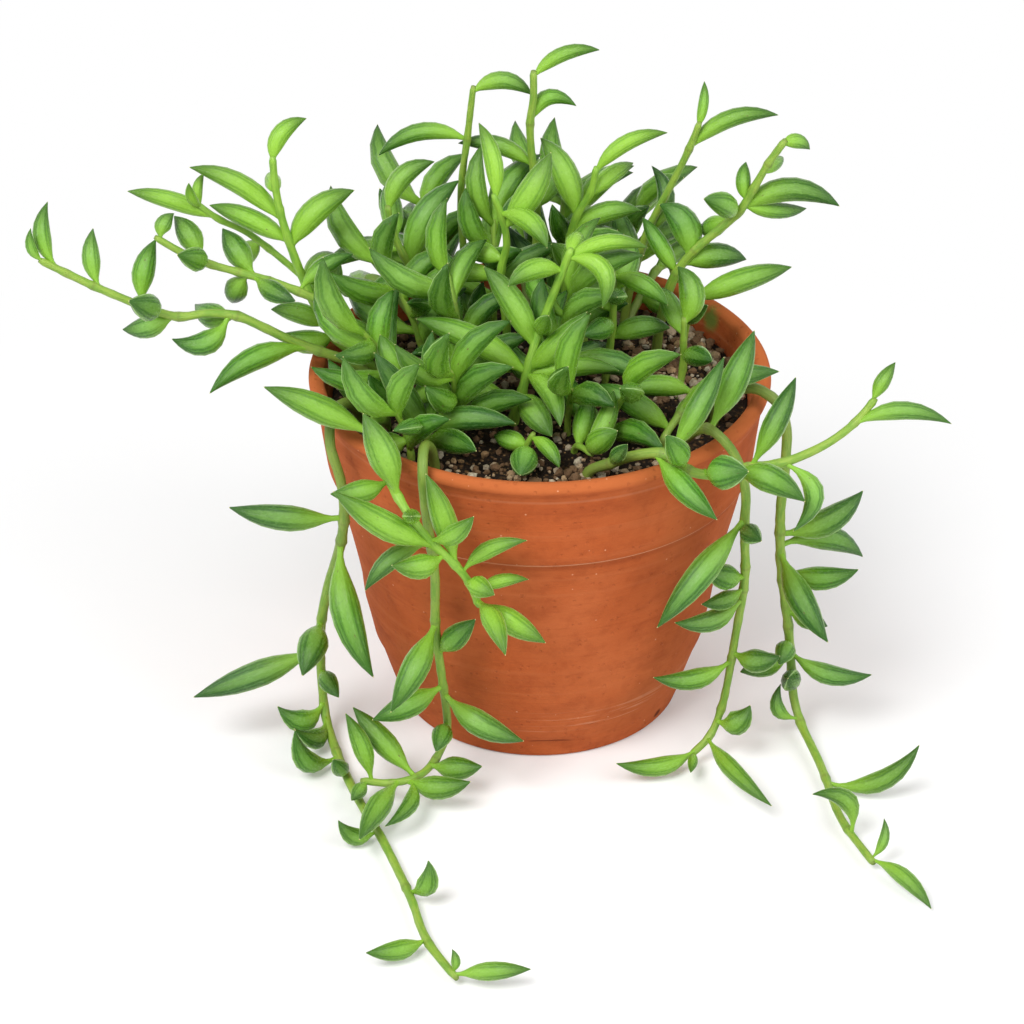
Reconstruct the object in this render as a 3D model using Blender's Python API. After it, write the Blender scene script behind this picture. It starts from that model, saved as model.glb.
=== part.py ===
"""A trailing succulent, the string of bananas, growing in a round clay pot.

The pot and the soil are turned solids. Each shoot of the plant is one solid: a
stem that follows a smooth route, and the banana-shaped leaves that grow out of
it. Lengths in the tables are millimetres and angles are degrees; a heading is
measured in plan from +X towards +Y.
"""
import math

import bmesh
import bpy
import numpy as np
from mathutils import Vector

MM = 0.001

# Where the pot stands: the frame's origin is the middle of the whole footprint.
POT_AXIS = (16, 34)

# Pot
POT_HEIGHT = 113
RIM_RADIUS = 70
LIP_HEIGHT = 7
COLLAR_EDGE_HEIGHT = 83
COLLAR_STEP = 1.2
FOOT_RADIUS = 44
WALL = 5
FLOOR_THICKNESS = 7
DRAIN_RADIUS = 6
POT_SIDES = 40

# Soil
SOIL_EDGE_HEIGHT = 103
SOIL_CROWN_HEIGHT = 105
SOIL_SIDES = 32

# How the pieces meet
GAP = 0.3
ROOT_DEPTH = 97
ROOT_MIDDLE = 102
ROOT_TOP = 106
ROOT_HOLE_CLEARANCE = 1

# Shape of stems and leaves
STEM_SIDES = 5
STEM_STEP = 9
LEAF_SIDES = 4
LEAF_RINGS = (0.14, 0.45, 0.8)
PETIOLE_RADIUS = 0.9
STALK_SEAT = 2
LEAF_DEPTH_RATIO = 0.85
SPLINE_STEPS = 10

# Room that leaves keep around themselves. A leaf is tried at these swings, in
# degrees, towards some of the sides of a full turn: side 0 faces the light.
LEAF_CLEARANCE = 0.35
GROUND_CLEARANCE = 0.1
INNER_WALL_CLEARANCE = 0.5
SOIL_CLEARANCE_SHARE = 0.9
LEAF_SAMPLES = 9
STALK_SAMPLES = 3
END_ON = 0.15
ROOM_TURNS = (0, 6, 12, 18, 26, 34, 44, 56)
ROOM_DIRECTIONS = 8
LIGHT_TURNS = (0, 6, 12, 18, 26, 34)
LIGHT_DIRECTIONS = (0, ROOM_DIRECTIONS // 2)
ROOM_SHRINKS = (1.0, 0.8, 0.6)

# The plant turns to a light in front of it, this many degrees above the ground.
LIGHT_RISE = math.radians(32)
ACROSS = np.array([1, 0, 0])
UPWARD = np.array([0, math.sin(LIGHT_RISE), math.cos(LIGHT_RISE)])
TO_LIGHT = np.array([0, -math.cos(LIGHT_RISE), math.sin(LIGHT_RISE)])

# Each shoot: name, stem radius, foot (x, y) in the soil, the route's points above
# the soil, and its leaves. A leaf is (place along the stem, how far its tip reaches
# across, up and out as the light sees it, width, bow to its left in hundredths).
SHOOTS = [
    ("front_left_light_trail", 1.7, (-46, -22),
     [(-47, -33, 114), (-49, -46, 119), (-46, -57, 113), (-38, -72, 105), (-30, -74, 95),
      (-22, -73, 85), (-18, -71, 73)],
     [(0.37, -32, 14, 4, 9, -2), (0.58, -10, 24, 6, 10, -3),
      (0.52, -17, -4, 4, 7.5, 8), (0.84, -9, 28, 4, 8, -3), (0.87, 20, 10, 0, 5.5, 12),
      (0.73, 15, 8, 10, 6.5, -10), (0.95, 16, 4, 0, 4.5, 10), (1, 20, -12, 4, 8, 0),
      (0.98, 12, -22, 6, 7, 6), (0.79, -15, -3, 8, 8, 12), (0.76, -31, 17, 0, 9, 4),
      (0.9, 8, -4, 10, 7, 0), (0.65, -4, -10, 8, 6, 0)]),
    ("right_reaching", 1.7, (14, -50),
     [(22, -54, 112), (34, -59, 118), (46, -64, 113), (58, -61, 114), (70, -58, 114),
      (82, -53, 117), (90, -49, 121), (97, -45, 128)],
     [(0.35, 16, 29, 0, 7.5, -2), (0.59, 13, 26, 0, 7.5, -2), (0.31, 17, -19, 14, 8, -3),
      (0.4, -14, -5, 10, 8, -3), (0.46, 10, -13, 10, 11, 0), (0.53, 22, -9, 2, 9, 10),
      (0.68, 3, -20, 0, 6.5, 38), (0.89, 30, 1, 0, 6, 15), (0.99, 7, 12, 0, 5, 3),
      (0.16, 7, -5, 16, 5, 0)]),
    ("front_middle_light", 1.6, (-8, -20),
     [(-6, -20, 113), (-4, -19, 122), (-1, -15, 131), (3, -12, 142), (7, -11, 153), (9, -11, 159)],
     [(0.38, -33, 16, 0, 9, -5), (0.2, -23, 15, 0, 8.5, 6), (0.37, 13, -21, 8, 7, 12),
      (0.27, 5, -7, 18, 9, 0), (0.34, 28, 3, 0, 7, 10), (0.5, -15, 24, 0, 8.5, -6),
      (0.93, 24, 4, 0, 5.5, 15), (0.95, 10, -15, 4, 6.5, 35), (0.98, 5, 11, -8, 6, 0),
      (0.88, -16, -5, 8, 7, -15), (0.4, 18, 17, -6, 8.5, -5), (0.57, 7, 11, 6, 6, 0)]),
    ("front_left_short_trail", 1.6, (-31, -46),
     [(-32, -50, 114), (-34, -59, 119), (-34, -65, 112), (-33, -64, 98), (-31, -63, 80),
      (-31, -60, 58), (-29, -56, 34), (-28, -54, 18), (-31, -58, 10), (-40, -68, 8), (-54, -66, 7)],
     [(0.35, -19, -14, 4, 6.5, -12), (0.53, -13, -26, 8, 9, 2), (0.6, 6, 10, 16, 8, 0),
      (0.68, -21, -10, 8, 8.5, 3), (0.7, 24, -14, 6, 8.5, -8), (0.77, -3, -8, 12, 7, 0),
      (0.86, 16, 0, 6, 8, -5), (0.92, 18, 11, -4, 8, -10), (0.9, -19, 21, -4, 8, 0),
      (0.98, -8, 22, 0, 6.5, -5), (0.93, -14, -20, 24, 8, -2), (0.91, -7, -13, 20, 5.5, 15),
      (1, -5, -6, 8, 5, 0)]),
    ("front_left_long_trail", 1.7, (-54, -18),
     [(-56, -26, 115), (-60, -35, 119), (-62, -42, 113), (-58, -47, 98), (-59, -42, 78),
      (-64, -35, 56), (-67, -30, 36), (-67, -28, 18), (-66, -31, 6), (-61, -50, 3),
      (-54, -72, 3), (-47, -90, 3), (-38, -118, 3), (-33, -138, 3), (-24, -156, 3)],
     [(0.24, -34, 3, 0, 8.5, 5), (0.28, 10, -40, 6, 10, -8), (0.41, -5, -16, 16, 10, 0),
      (0.45, -39, -15, 0, 9, 1), (0.52, -14, -1, 6, 8, 35), (0.54, -15, -4, 10, 7, 28),
      (0.6, -20, -2, 6, 7.5, 30), (0.48, 6, -8, 12, 6.5, 0), (0.63, 4, -6, 12, 6, 0),
      (0.74, -12, 4, 6, 6, 25), (0.85, 6, 10, 8, 7, -25), (0.93, -19, -3, 7, 6.5, 6),
      (1, 22, 2, 4, 6, 2), (0.99, 0, 7, 2, 3, -15)]),
    ("right_hanging_trail", 1.6, (40, -38),
     [(44, -42, 114), (50, -48, 119), (57, -51, 111), (60, -50, 98), (60, -49, 86),
      (61, -45, 66), (59, -41, 42), (56, -41, 18), (51, -46, 7), (46, -49, 4)],
     [(0.18, 13, 29, 0, 9, -2), (0.4, -26, -32, 4, 9, 0), (0.55, -13, 2, 10, 8.5, 7),
      (0.58, -13, -5, 6, 6, 10), (0.61, -20, -7, 6, 7, 15), (0.77, -24, -5, 6, 7, 13),
      (0.75, 14, -1, 6, 8, -14), (0.91, 10, 5, 6, 8.5, -25), (0.98, -26, -4, 7, 6.5, 12),
      (0.95, 18, -19, 28, 6, -3), (0.43, 4, -3, 16, 7, 0), (1, -2, -7, 10, 3.5, 0)]),
    ("right_long_trail", 1.7, (52, -18),
     [(57, -20, 115), (65, -24, 119), (72, -27, 112), (73, -29, 98), (72, -30, 80),
      (73, -29, 60), (76, -28, 38), (78, -28, 18), (80, -30, 6), (86, -54, 3), (90, -80, 3),
      (98, -102, 3)],
     [(0.36, 25, 13, 0, 9, -12), (0.38, 29, -4, 0, 8.5, 15), (0.42, 23, 0, 4, 8, -12),
      (0.39, 14, -28, 6, 9, -4), (0.49, 8, -8, -8, 7, 0), (0.61, -10, 6, 12, 8, 0),
      (0.57, -11, -9, 8, 8, 0), (0.56, 25, -7, 2, 7, -14), (0.67, -6, 11, 4, 5, 35),
      (0.81, 31, 3, 0, 7, -18), (0.93, -12, 12, 4, 6.5, -35), (0.99, 4, 12, 0, 3.5, -15),
      (1, 16, -13, 18, 5.5, 8), (0.54, -5, -10, 4, 7, 0)]),
    ("front_low_left", 1.4, (-33, -33),
     [(-34, -30, 110), (-37, -26, 116), (-42, -23, 121)],
     [(0.35, -17, 27, 4, 8.5, -2), (0.45, 30, 1, 0, 8, 8), (0.32, 24, -6, 10, 8, 5),
      (0.72, 6, 13, -12, 8, -8), (0.98, 11, 9, -10, 6, 0), (0.4, 1, 11, -16, 6, 0),
      (0.95, -6, 14, -8, 8, 0)]),
    ("front_low_middle", 1.2, (-4, -38),
     [(-4, -40, 109), (-3, -41, 111), (-2, -41, 114)],
     [(0.6, -2, -8, 16, 9, 0), (0.9, 8, -9, 8, 5, 10), (0.7, -10, 3, -6, 6.5, 0),
      (0.95, 4, 8, -6, 7, 0)]),
    ("front_low_right", 1.2, (10, -36),
     [(11, -40, 109), (13, -44, 110), (15, -47, 110)],
     [(0.85, 8, 18, -4, 6.5, -8), (0.98, 12, 9, 4, 8, 5), (0.6, -4, 15, -8, 7, 0)]),
    ("right_front_inner", 1.4, (36, -34),
     [(38, -31, 110), (42, -26, 113), (46, -21, 118)],
     [(0.48, -21, 13, 6, 8, -3), (0.73, 29, 11, 0, 8, 10), (0.97, -21, 0, 0, 7, -10),
      (0.55, 13, 11, -10, 8, 0)]),
    ("left_upright_light", 1.6, (-50, 10),
     [(-56, 9, 112), (-63, 9, 119), (-70, 9, 135), (-75, 9, 151), (-78, 9, 165), (-79, 9, 179)],
     [(1, 10, 13, 0, 6, 20), (0.66, 19, 17, 0, 8.5, 12), (0.76, -28, 16, 0, 7, -10),
      (0.68, -24, 11, 0, 7, -5), (0.87, -3, 7, -16, 5.5, 0), (0.37, -7, 17, 10, 8, 0),
      (0.32, 12, -3, 8, 7, 15), (0.34, -17, 5, 0, 7, -8), (0.3, -15, 4, 0, 8, 15),
      (0.5, 11, 7, -12, 7, 8)]),
    ("left_side_branch_light", 1.3, (-44, 20),
     [(-54, 18, 115), (-68, 18, 130), (-80, 18, 142), (-90, 17, 151), (-97, 16, 155), (-103, 16, 160)],
     [(0.91, -27, 8, 0, 6, -4), (1, 1, 10, 0, 3.5, 15), (0.98, -4, 9, 4, 3.5, 12),
      (0.74, -7, -5, -18, 7, 0)]),
    ("middle_upright_light", 1.5, (-10, 12),
     [(-10, 12, 120), (-12, 12, 136), (-10, 12, 148), (-12, 12, 160), (-14, 12, 165)],
     [(0.98, -5, 23, 0, 6, -8), (0.83, 14, 22, 6, 9, -5), (0.9, 16, -13, 6, 7, 15),
      (0.57, -26, -3, 0, 7, -14), (0.67, -12, 5, -12, 7, 0)]),
    ("back_middle_tall", 1.6, (-1, 38),
     [(-1, 38, 125), (-1, 38, 150), (-3, 38, 172), (-2, 38, 184), (-2, 38, 193)],
     [(0.98, 20, 8, 0, 5, 14), (0.82, 14, 5, 0, 5.5, 36), (0.67, -23, 7, 0, 6, -12),
      (0.57, -11, -8, 14, 7, 0), (0.52, 8, 16, -8, 8, 0), (0.47, -10, 13, -8, 7, 8)]),
    ("back_left_arching", 1.4, (-22, 40),
     [(-23, 40, 125), (-24, 40, 150), (-22, 40, 169), (-20, 40, 187)],
     [(0.98, 18, -1, 0, 6, 22), (0.8, -27, -5, 0, 6, -18)]),
    ("back_left_hooked", 1.5, (-32, 25),
     [(-35, 25, 118), (-38, 25, 130), (-42, 25, 139), (-45, 26, 147), (-46, 26, 154)],
     [(0.98, 14, 15, 0, 7, 20), (0.62, 15, 27, 0, 9, 13), (0.74, -25, -6, 0, 6.5, -12),
      (0.81, -3, 18, -8, 7.5, 0), (0.66, -21, 7, -12, 7, -8), (0.54, -14, -5, 12, 8, -8)]),
    ("back_middle_right_light", 1.5, (8, 30),
     [(8, 30, 122), (9, 30, 139), (11, 30, 148), (15, 30, 155), (17, 30, 165)],
     [(0.99, 22, 12, 0, 5.5, 13), (0.74, -11, 24, 0, 9, -8), (0.85, 14, 11, -8, 6, 5),
      (0.67, 21, 6, 0, 7, 12), (0.72, 9, 10, -14, 7, 0), (0.55, 9, -3, 18, 7.5, 8)]),
    ("back_right_tall", 1.5, (26, 34),
     [(28, 34, 122), (33, 34, 141), (40, 34, 157), (45, 34, 169), (48, 34, 178)],
     [(0.99, 2, 14, 0, 3.5, -5), (0.89, 27, 10, 0, 6, 14), (0.53, 1, 20, 0, 6, -25),
      (0.4, -6, 17, -4, 8, 5), (0.46, 17, 8, -8, 7, 8)]),
    ("crown_right", 1.4, (20, 5),
     [(21, 5, 115), (22, 5, 128), (22, 5, 143)],
     [(0.5, 18, 3, 0, 7.5, 10), (0.97, 16, -9, 6, 6.5, 10), (0.7, -8, 11, -6, 8, 0),
      (0.85, 6, 16, -4, 8, -5), (0.6, -9, -4, 14, 7.5, 0), (0.78, 10, 8, 14, 7, 5)]),
    ("right_inner_upright", 1.3, (42, -3),
     [(43, -2, 112), (43, -2, 121), (43, -2, 131)],
     [(0.97, -2, 17, 0, 8.5, -20), (0.6, 8, -2, 16, 7, 5), (0.82, -6, 15, -12, 7, 0)]),
    ("right_back_low", 1.3, (44, 14),
     [(44, 16, 113), (45, 16, 120), (47, 16, 129)],
     [(0.97, 30, 10, 0, 8, 3), (0.7, 8, 6, 14, 6.5, 5)]),
    ("right_back_cluster", 1.6, (36, 22),
     [(38, 22, 122), (43, 22, 136), (52, 22, 146), (60, 22, 154), (67, 22, 168), (73, 22, 178)],
     [(0.47, -9, 16, 0, 10, -20), (0.4, -6, 18, -6, 6, 0), (0.68, -10, 4, 14, 8, -8),
      (0.66, -9, -3, -14, 7, 0), (0.44, 19, 6, 0, 8.5, 10), (0.71, 30, 1, 0, 8, 19),
      (0.73, 20, 0, -12, 5.5, -5), (0.75, 0, 10, 6, 5, 8), (1, 9, 3, 0, 5, 20),
      (0.86, 7, 6, -12, 4.5, 0)]),
    ("left_reaching_long", 1.6, (-45, -4),
     [(-56, -4, 116), (-73, -5, 124), (-93, -5, 134), (-109, -5, 133), (-130, -5, 142), (-148, -5, 152)],
     [(0.3, -30, -14, 12, 8, -12), (0.52, -17, -7, 0, 8, 28), (0.65, -17, -4, 0, 7.5, 7),
      (0.69, -7, 2, 20, 9, 0),
      (0.5, -19, 6, 0, 8.5, 10), (0.73, 4, 20, 0, 7.5, 8), (0.84, -2, 18, 0, 6, 9),
      (0.95, -3, 20, 0, 6, 16), (1, -4, 11, 0, 3.5, 18)]),
    ("left_reaching_short", 1.5, (-42, 4),
     [(-52, 2, 120), (-64, 0, 134), (-80, 0, 142), (-101, 0, 149), (-114, 0, 157)],
     [(0.68, -10, 15, 0, 8.5, 0), (0.84, -9, 14, 0, 8, -5), (0.83, -7, 1, 18, 8, 0),
      (0.7, -11, 6, -10, 8, -5), (0.54, 10, 7, -16, 6, 10), (0.68, 13, -8, 12, 7, -5),
      (1, 2, 9, 0, 5.5, 15)]),
]

# Short upright tufts that fill the middle of the pot: name, foot (x, y), height,
# heading of the lean, how far it leans, and how many leaves.
TUFTS = [
    ("tuft_left_front", (-40, -14), 30, 200, 10, 8),
    ("tuft_left_back", (-34, 10), 34, 150, 12, 8),
    ("tuft_middle_left", (-22, -8), 38, 120, 8, 9),
    ("tuft_middle", (4, -10), 34, 60, 8, 9),
    ("tuft_middle_back", (-14, 24), 40, 90, 6, 9),
    ("tuft_middle_right", (14, 20), 32, 110, 6, 8),
    ("tuft_right_back", (14, 42), 36, 100, 8, 8),
    ("tuft_right_front", (20, -28), 17, 330, 5, 6),
    ("tuft_front_left", (-24, -26), 24, 250, 5, 8),
    ("tuft_front_middle", (8, -26), 18, 280, 5, 7),
    ("tuft_left_edge", (-38, -41), 18, 215, 4, 6),
    ("tuft_back_left", (-30, 46), 34, 120, 10, 8),
    ("tuft_back", (6, 50), 36, 80, 8, 8),
    ("tuft_back_right", (26, 52), 28, 60, 8, 7),
]

# Shoots that hang over the back of the rim: name, heading of the point where they
# cross it, how far down they hang, and how many leaves.
BACK_TRAILS = [
    ("back_trail_far_left", 136, 48, 8),
    ("back_trail_left", 116, 74, 10),
    ("back_trail_middle", 94, 60, 9),
    ("back_trail_right", 74, 84, 11),
    ("back_trail_far_right", 56, 40, 7),
]
TUFT_STEM_RADIUS = 1.2
TRAIL_STEM_RADIUS = 1.5
TRAIL_FOOT_REACH = 50
GOLDEN_ANGLE = 137.5
GROWN_LEAF_LENGTHS = (27, 23, 29, 25, 21)
GROWN_LEAF_WIDTHS = (8, 7.5, 8.5, 7, 8)
GROWN_LEAF_ARCH = 15
GROWN_LEAF_SPREAD = 52

LEAF_GREEN = (0.12, 0.27, 0.06)
YOUNG_GREEN = (0.30, 0.45, 0.08)
CLAY = (0.48, 0.13, 0.045)
EARTH = (0.045, 0.028, 0.018)


def remove_everything():
    """Empty the scene of the objects it opened with."""
    for thing in list(bpy.data.objects):
        bpy.data.objects.remove(thing, do_unlink=True)


def make_material(name, colour, roughness):
    """Make a plain Principled material."""
    material = bpy.data.materials.new(name)
    material.use_nodes = True
    shader = material.node_tree.nodes["Principled BSDF"]
    shader.inputs["Base Color"].default_value = (*colour, 1)
    shader.inputs["Roughness"].default_value = roughness
    shader.inputs["Metallic"].default_value = 0
    return material


def add_object(name, mesh, material, parent):
    """Link a mesh to the scene under the pot's axis."""
    thing = bpy.data.objects.new(name, mesh)
    if material:
        thing.data.materials.append(material)
    thing.parent = parent
    bpy.context.scene.collection.objects.link(thing)
    return thing


def hide_cutter(thing):
    """Mark an object as a construction aid."""
    thing.hide_render = True
    thing.display_type = "WIRE"


def arc(centre, radius, start, end, steps):
    """Points of an arc in the (radius, height) plane, angles in degrees."""
    turns = [math.radians(start + (end - start) * k / steps) for k in range(steps + 1)]
    return [(centre[0] + radius * math.cos(a), centre[1] + radius * math.sin(a)) for a in turns]


def pot_wall_radius(height):
    """Outer radius of the pot's wall at a height."""
    heights = (0, 8, 22, 60, COLLAR_EDGE_HEIGHT)
    radii = (FOOT_RADIUS, 46.2, 50.5, 58.3, 63.6)
    return float(np.interp(height, heights, radii))


def pot_inner_radius(height):
    """Radius of the pot's hollow at a height."""
    low = pot_wall_radius(FLOOR_THICKNESS) - WALL
    return float(np.interp(height, (FLOOR_THICKNESS, POT_HEIGHT - 4), (low, RIM_RADIUS - 5.6)))


def pot_outline():
    """The pot's section: underside, outer wall, lip, inner wall and drain hole."""
    lip_radius = LIP_HEIGHT / 2
    lip_centre = (RIM_RADIUS - lip_radius, POT_HEIGHT - lip_radius)
    outer = [(DRAIN_RADIUS, 0), (FOOT_RADIUS - 1, 0), (FOOT_RADIUS, 1)]
    outer += [(pot_wall_radius(h), h) for h in (8, 22, 60, COLLAR_EDGE_HEIGHT - 0.6)]
    outer += [(pot_wall_radius(COLLAR_EDGE_HEIGHT) + COLLAR_STEP, COLLAR_EDGE_HEIGHT)]
    outer += [(RIM_RADIUS - 2.2, POT_HEIGHT - LIP_HEIGHT)]
    lip = arc(lip_centre, lip_radius, -60, 150, 6)
    inner = [(pot_inner_radius(h), h) for h in (POT_HEIGHT - 8, FLOOR_THICKNESS)]
    return outer + lip + inner + [(DRAIN_RADIUS, FLOOR_THICKNESS)]


def turned_mesh(name, outline, sides, closed):
    """Spin a section about the vertical axis into a closed solid."""
    mesh = bpy.data.meshes.new(name)
    form = bmesh.new()
    corners = [form.verts.new(Vector((r, 0, z)) * MM) for r, z in outline]
    edges = [form.edges.new(pair) for pair in zip(corners, corners[1:])]
    if closed:
        edges.append(form.edges.new((corners[-1], corners[0])))
    bmesh.ops.spin(form, geom=corners + edges, cent=(0, 0, 0), axis=(0, 0, 1),
                   angle=math.tau, steps=sides, use_merge=True)
    bmesh.ops.remove_doubles(form, verts=form.verts, dist=1e-6)
    bmesh.ops.recalc_face_normals(form, faces=form.faces)
    form.to_mesh(mesh)
    form.free()
    mesh.shade_smooth()
    mesh.set_sharp_from_angle(angle=math.radians(35))
    return mesh


def soil_height(reach):
    """Height of the soil, which is a low mound, at a distance from the axis."""
    share = min(1, reach / pot_inner_radius(SOIL_EDGE_HEIGHT))
    return SOIL_EDGE_HEIGHT + (SOIL_CROWN_HEIGHT - SOIL_EDGE_HEIGHT) * math.cos(share * math.pi / 2)


def soil_outline():
    """The soil's section, from its crown on the axis round to its underside."""
    lowest = FLOOR_THICKNESS + GAP
    crown = [(reach, soil_height(reach)) for reach in (0, 30, 50)]
    edge = pot_inner_radius(SOIL_EDGE_HEIGHT) - GAP
    base = pot_inner_radius(lowest) - GAP
    return [(0, lowest), (base, lowest), (edge, SOIL_EDGE_HEIGHT)] + crown[::-1]


def smooth_route(points):
    """A Catmull-Rom curve through the points, as an array of places."""
    p = [Vector(q) for q in points]
    p = [2 * p[0] - p[1]] + p + [2 * p[-1] - p[-2]]
    places = []
    for a, b, c, d in zip(p, p[1:], p[2:], p[3:]):
        for k in range(SPLINE_STEPS):
            t = k / SPLINE_STEPS
            bend = 2 * a - 5 * b + 4 * c - d
            twist = 3 * b - a - 3 * c + d
            places.append(0.5 * (2 * b + (c - a) * t + bend * t * t + twist * t ** 3))
    places.append(p[-2])
    return np.array(places)


def distances_along(route):
    """How far each point of a route is from its start."""
    steps = np.linalg.norm(np.diff(route, axis=0), axis=1)
    return np.concatenate([[0], np.cumsum(steps)])


class Stem:
    """A stem: a smooth route, its radius, and places along it."""

    def __init__(self, foot, points, radius):
        rooted = [(*foot, height) for height in (ROOT_DEPTH, ROOT_MIDDLE, ROOT_TOP)]
        smooth = smooth_route(rooted + list(points))
        reach = distances_along(smooth)
        count = max(3, round(reach[-1] / STEM_STEP))
        even = np.linspace(0, reach[-1], count + 1)
        self.route = np.array([np.interp(even, reach, smooth[:, k]) for k in range(3)]).T
        self.along = distances_along(self.route)
        self.length = float(self.along[-1])
        self.radius = radius

    def place(self, share):
        """The point at a share of the stem's length."""
        reach = share * self.length
        return np.array([np.interp(reach, self.along, self.route[:, k]) for k in range(3)])

    def direction(self, share):
        """The unit direction of growth at a share of the stem's length."""
        step = 1.5 / self.length
        ahead = self.place(min(1, share + step)) - self.place(max(0, share - step))
        return ahead / np.linalg.norm(ahead)

    def stations(self, spacing):
        """Evenly spaced shares from the foot to the end."""
        count = max(3, round(self.length / spacing))
        return [k / count for k in range(count + 1)]

    def thickness(self, share):
        """The stem's radius, which narrows towards its growing end."""
        return self.radius * (1 - 0.3 * share)


class Leaf:
    """A leaf: a bowed spine from the stem's axis to a pointed tip."""

    def __init__(self, base, reach, width, arch):
        self.base = base
        self.length = float(np.linalg.norm(reach))
        self.chord = reach / self.length
        self.width = width
        self.arch = arch / 100

    def face(self):
        """The side that the leaf turns to the light, square to its chord."""
        side = TO_LIGHT - self.chord * np.dot(TO_LIGHT, self.chord)
        size = np.linalg.norm(side)
        if size < END_ON:
            side = UPWARD - self.chord * np.dot(UPWARD, self.chord)
            size = np.linalg.norm(side)
        return side / size

    def left(self):
        """The side on the leaf's left, as the light sees it grow."""
        return np.cross(self.face(), self.chord)

    def spine(self, t):
        """The spine's point at a share of the leaf's length."""
        lift = 4 * self.arch * t * (1 - t)
        return self.base + (self.chord * t + self.left() * lift) * self.length

    def half_width(self, t):
        """Half the leaf's width at a share of its length."""
        blade = self.width / 2 * max(0, 4 * t * (1 - t)) ** 0.9
        return max(blade, PETIOLE_RADIUS * (1 - t)) if t < 0.5 else blade

    def turned(self, amount, side):
        """The same leaf swung by an angle towards a side of its chord."""
        towards = self.face() * math.cos(side) + self.left() * math.sin(side)
        chord = self.chord * math.cos(amount) + towards * math.sin(amount)
        return Leaf(self.base, chord * self.length, self.width, self.arch * 100)

    def spheres(self):
        """Balls that fill the leaf, as places and radii."""
        shares = [(k + 1) / LEAF_SAMPLES for k in range(LEAF_SAMPLES)]
        places = np.array([self.spine(t) for t in shares])
        radii = np.array([self.half_width(t) for t in shares])
        return places, radii


class Room:
    """Keeps the balls of everything that has been placed."""

    def __init__(self):
        self.places = np.zeros((0, 3))
        self.radii = np.zeros(0)
        self.owners = np.zeros(0, dtype=int)

    def add(self, places, radii, owner):
        self.places = np.concatenate([self.places, places])
        self.radii = np.concatenate([self.radii, radii])
        self.owners = np.concatenate([self.owners, np.full(len(radii), owner)])

    def clear_of_pieces(self, leaf, owner):
        """Whether a leaf keeps clear of other shoots, and of its own beyond its stalk."""
        places, radii = leaf.spheres()
        gaps = np.linalg.norm(places[:, None] - self.places[None], axis=2)
        gaps -= radii[:, None] + self.radii[None] + LEAF_CLEARANCE
        near_stalk = np.arange(len(radii)) < STALK_SAMPLES
        excused = (self.owners[None] == owner) & near_stalk[:, None]
        return bool(np.all((gaps > 0) | excused))

    def clear_of_pot(self, leaf):
        """Whether a leaf keeps clear of the pot, the soil and the ground."""
        for (x, y, z), radius in list(zip(*leaf.spheres()))[1:]:
            reach = math.hypot(x, y)
            if z < radius + GROUND_CLEARANCE:
                return False
            over_rim = z > POT_HEIGHT + radius + GAP
            outside = reach > RIM_RADIUS + radius + GAP
            if z < COLLAR_EDGE_HEIGHT:
                outside = reach > pot_wall_radius(z) + COLLAR_STEP + radius + GAP
            above_soil = z > soil_height(reach) + SOIL_CLEARANCE_SHARE * radius + GAP
            inside = above_soil and reach < pot_inner_radius(z) - INNER_WALL_CLEARANCE - radius
            if not (over_rim or outside or inside):
                return False
        return True

    def settle(self, leaf, owner):
        """Swing a leaf to or from the light until it has room, then aside, then shorten it."""
        for shrink in ROOM_SHRINKS:
            leaf.length *= shrink
            swings = [(turn, side) for turn in LIGHT_TURNS for side in LIGHT_DIRECTIONS]
            swings += [(turn, side) for turn in ROOM_TURNS for side in range(ROOM_DIRECTIONS)]
            for turn, side in swings:
                tried = leaf.turned(math.radians(turn), math.tau * side / ROOM_DIRECTIONS)
                if self.clear_of_pot(tried) and self.clear_of_pieces(tried, owner):
                    self.add(*tried.spheres(), owner)
                    return tried
        return None


def leaf_reach(across, up, out):
    """The way from a leaf's foot to its tip, from how the light sees it."""
    return across * ACROSS + up * UPWARD + out * TO_LIGHT


def tuft_points(foot, height, heading, lean):
    """The route of a short upright stem."""
    turn = math.radians(heading)
    step = [(0.35, 0.3), (0.7, 0.75), (1.0, 1.4)]
    return [(foot[0] + math.cos(turn) * lean * out, foot[1] + math.sin(turn) * lean * out,
             ROOT_TOP + height * up) for up, out in step]


def trail_points(heading, drop):
    """The route of a stem that climbs over the rim and hangs outside it."""
    turn = math.radians(heading)
    over = POT_HEIGHT + TRAIL_STEM_RADIUS + 2.5
    section = [(60, over - 4), (67, over), (73, over - 1), (77, over - 8)]
    section += [(77 - 0.12 * drop * k / 3, over - 8 - drop * k / 3) for k in (1, 2, 3)]
    return [(math.cos(turn) * r, math.sin(turn) * r, z) for r, z in section]


def grown_leaves(stem, count, first, start_turn):
    """Leaves set round a stem by the golden angle, one after another."""
    leaves = []
    for k in range(count):
        share = first + (1 - first) * k / max(1, count - 1)
        along = stem.direction(share)
        across = np.cross(along, [0.31, 0.87, 0.38])
        across /= np.linalg.norm(across)
        third = np.cross(along, across)
        turn = math.radians(start_turn + GOLDEN_ANGLE * k)
        spread = math.radians(GROWN_LEAF_SPREAD if share < 1 else 15)
        way = along * math.cos(spread)
        way += (across * math.cos(turn) + third * math.sin(turn)) * math.sin(spread)
        length = GROWN_LEAF_LENGTHS[k % len(GROWN_LEAF_LENGTHS)]
        width = GROWN_LEAF_WIDTHS[k % len(GROWN_LEAF_WIDTHS)]
        leaves.append((share, way * length, width, GROWN_LEAF_ARCH))
    return leaves


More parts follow.
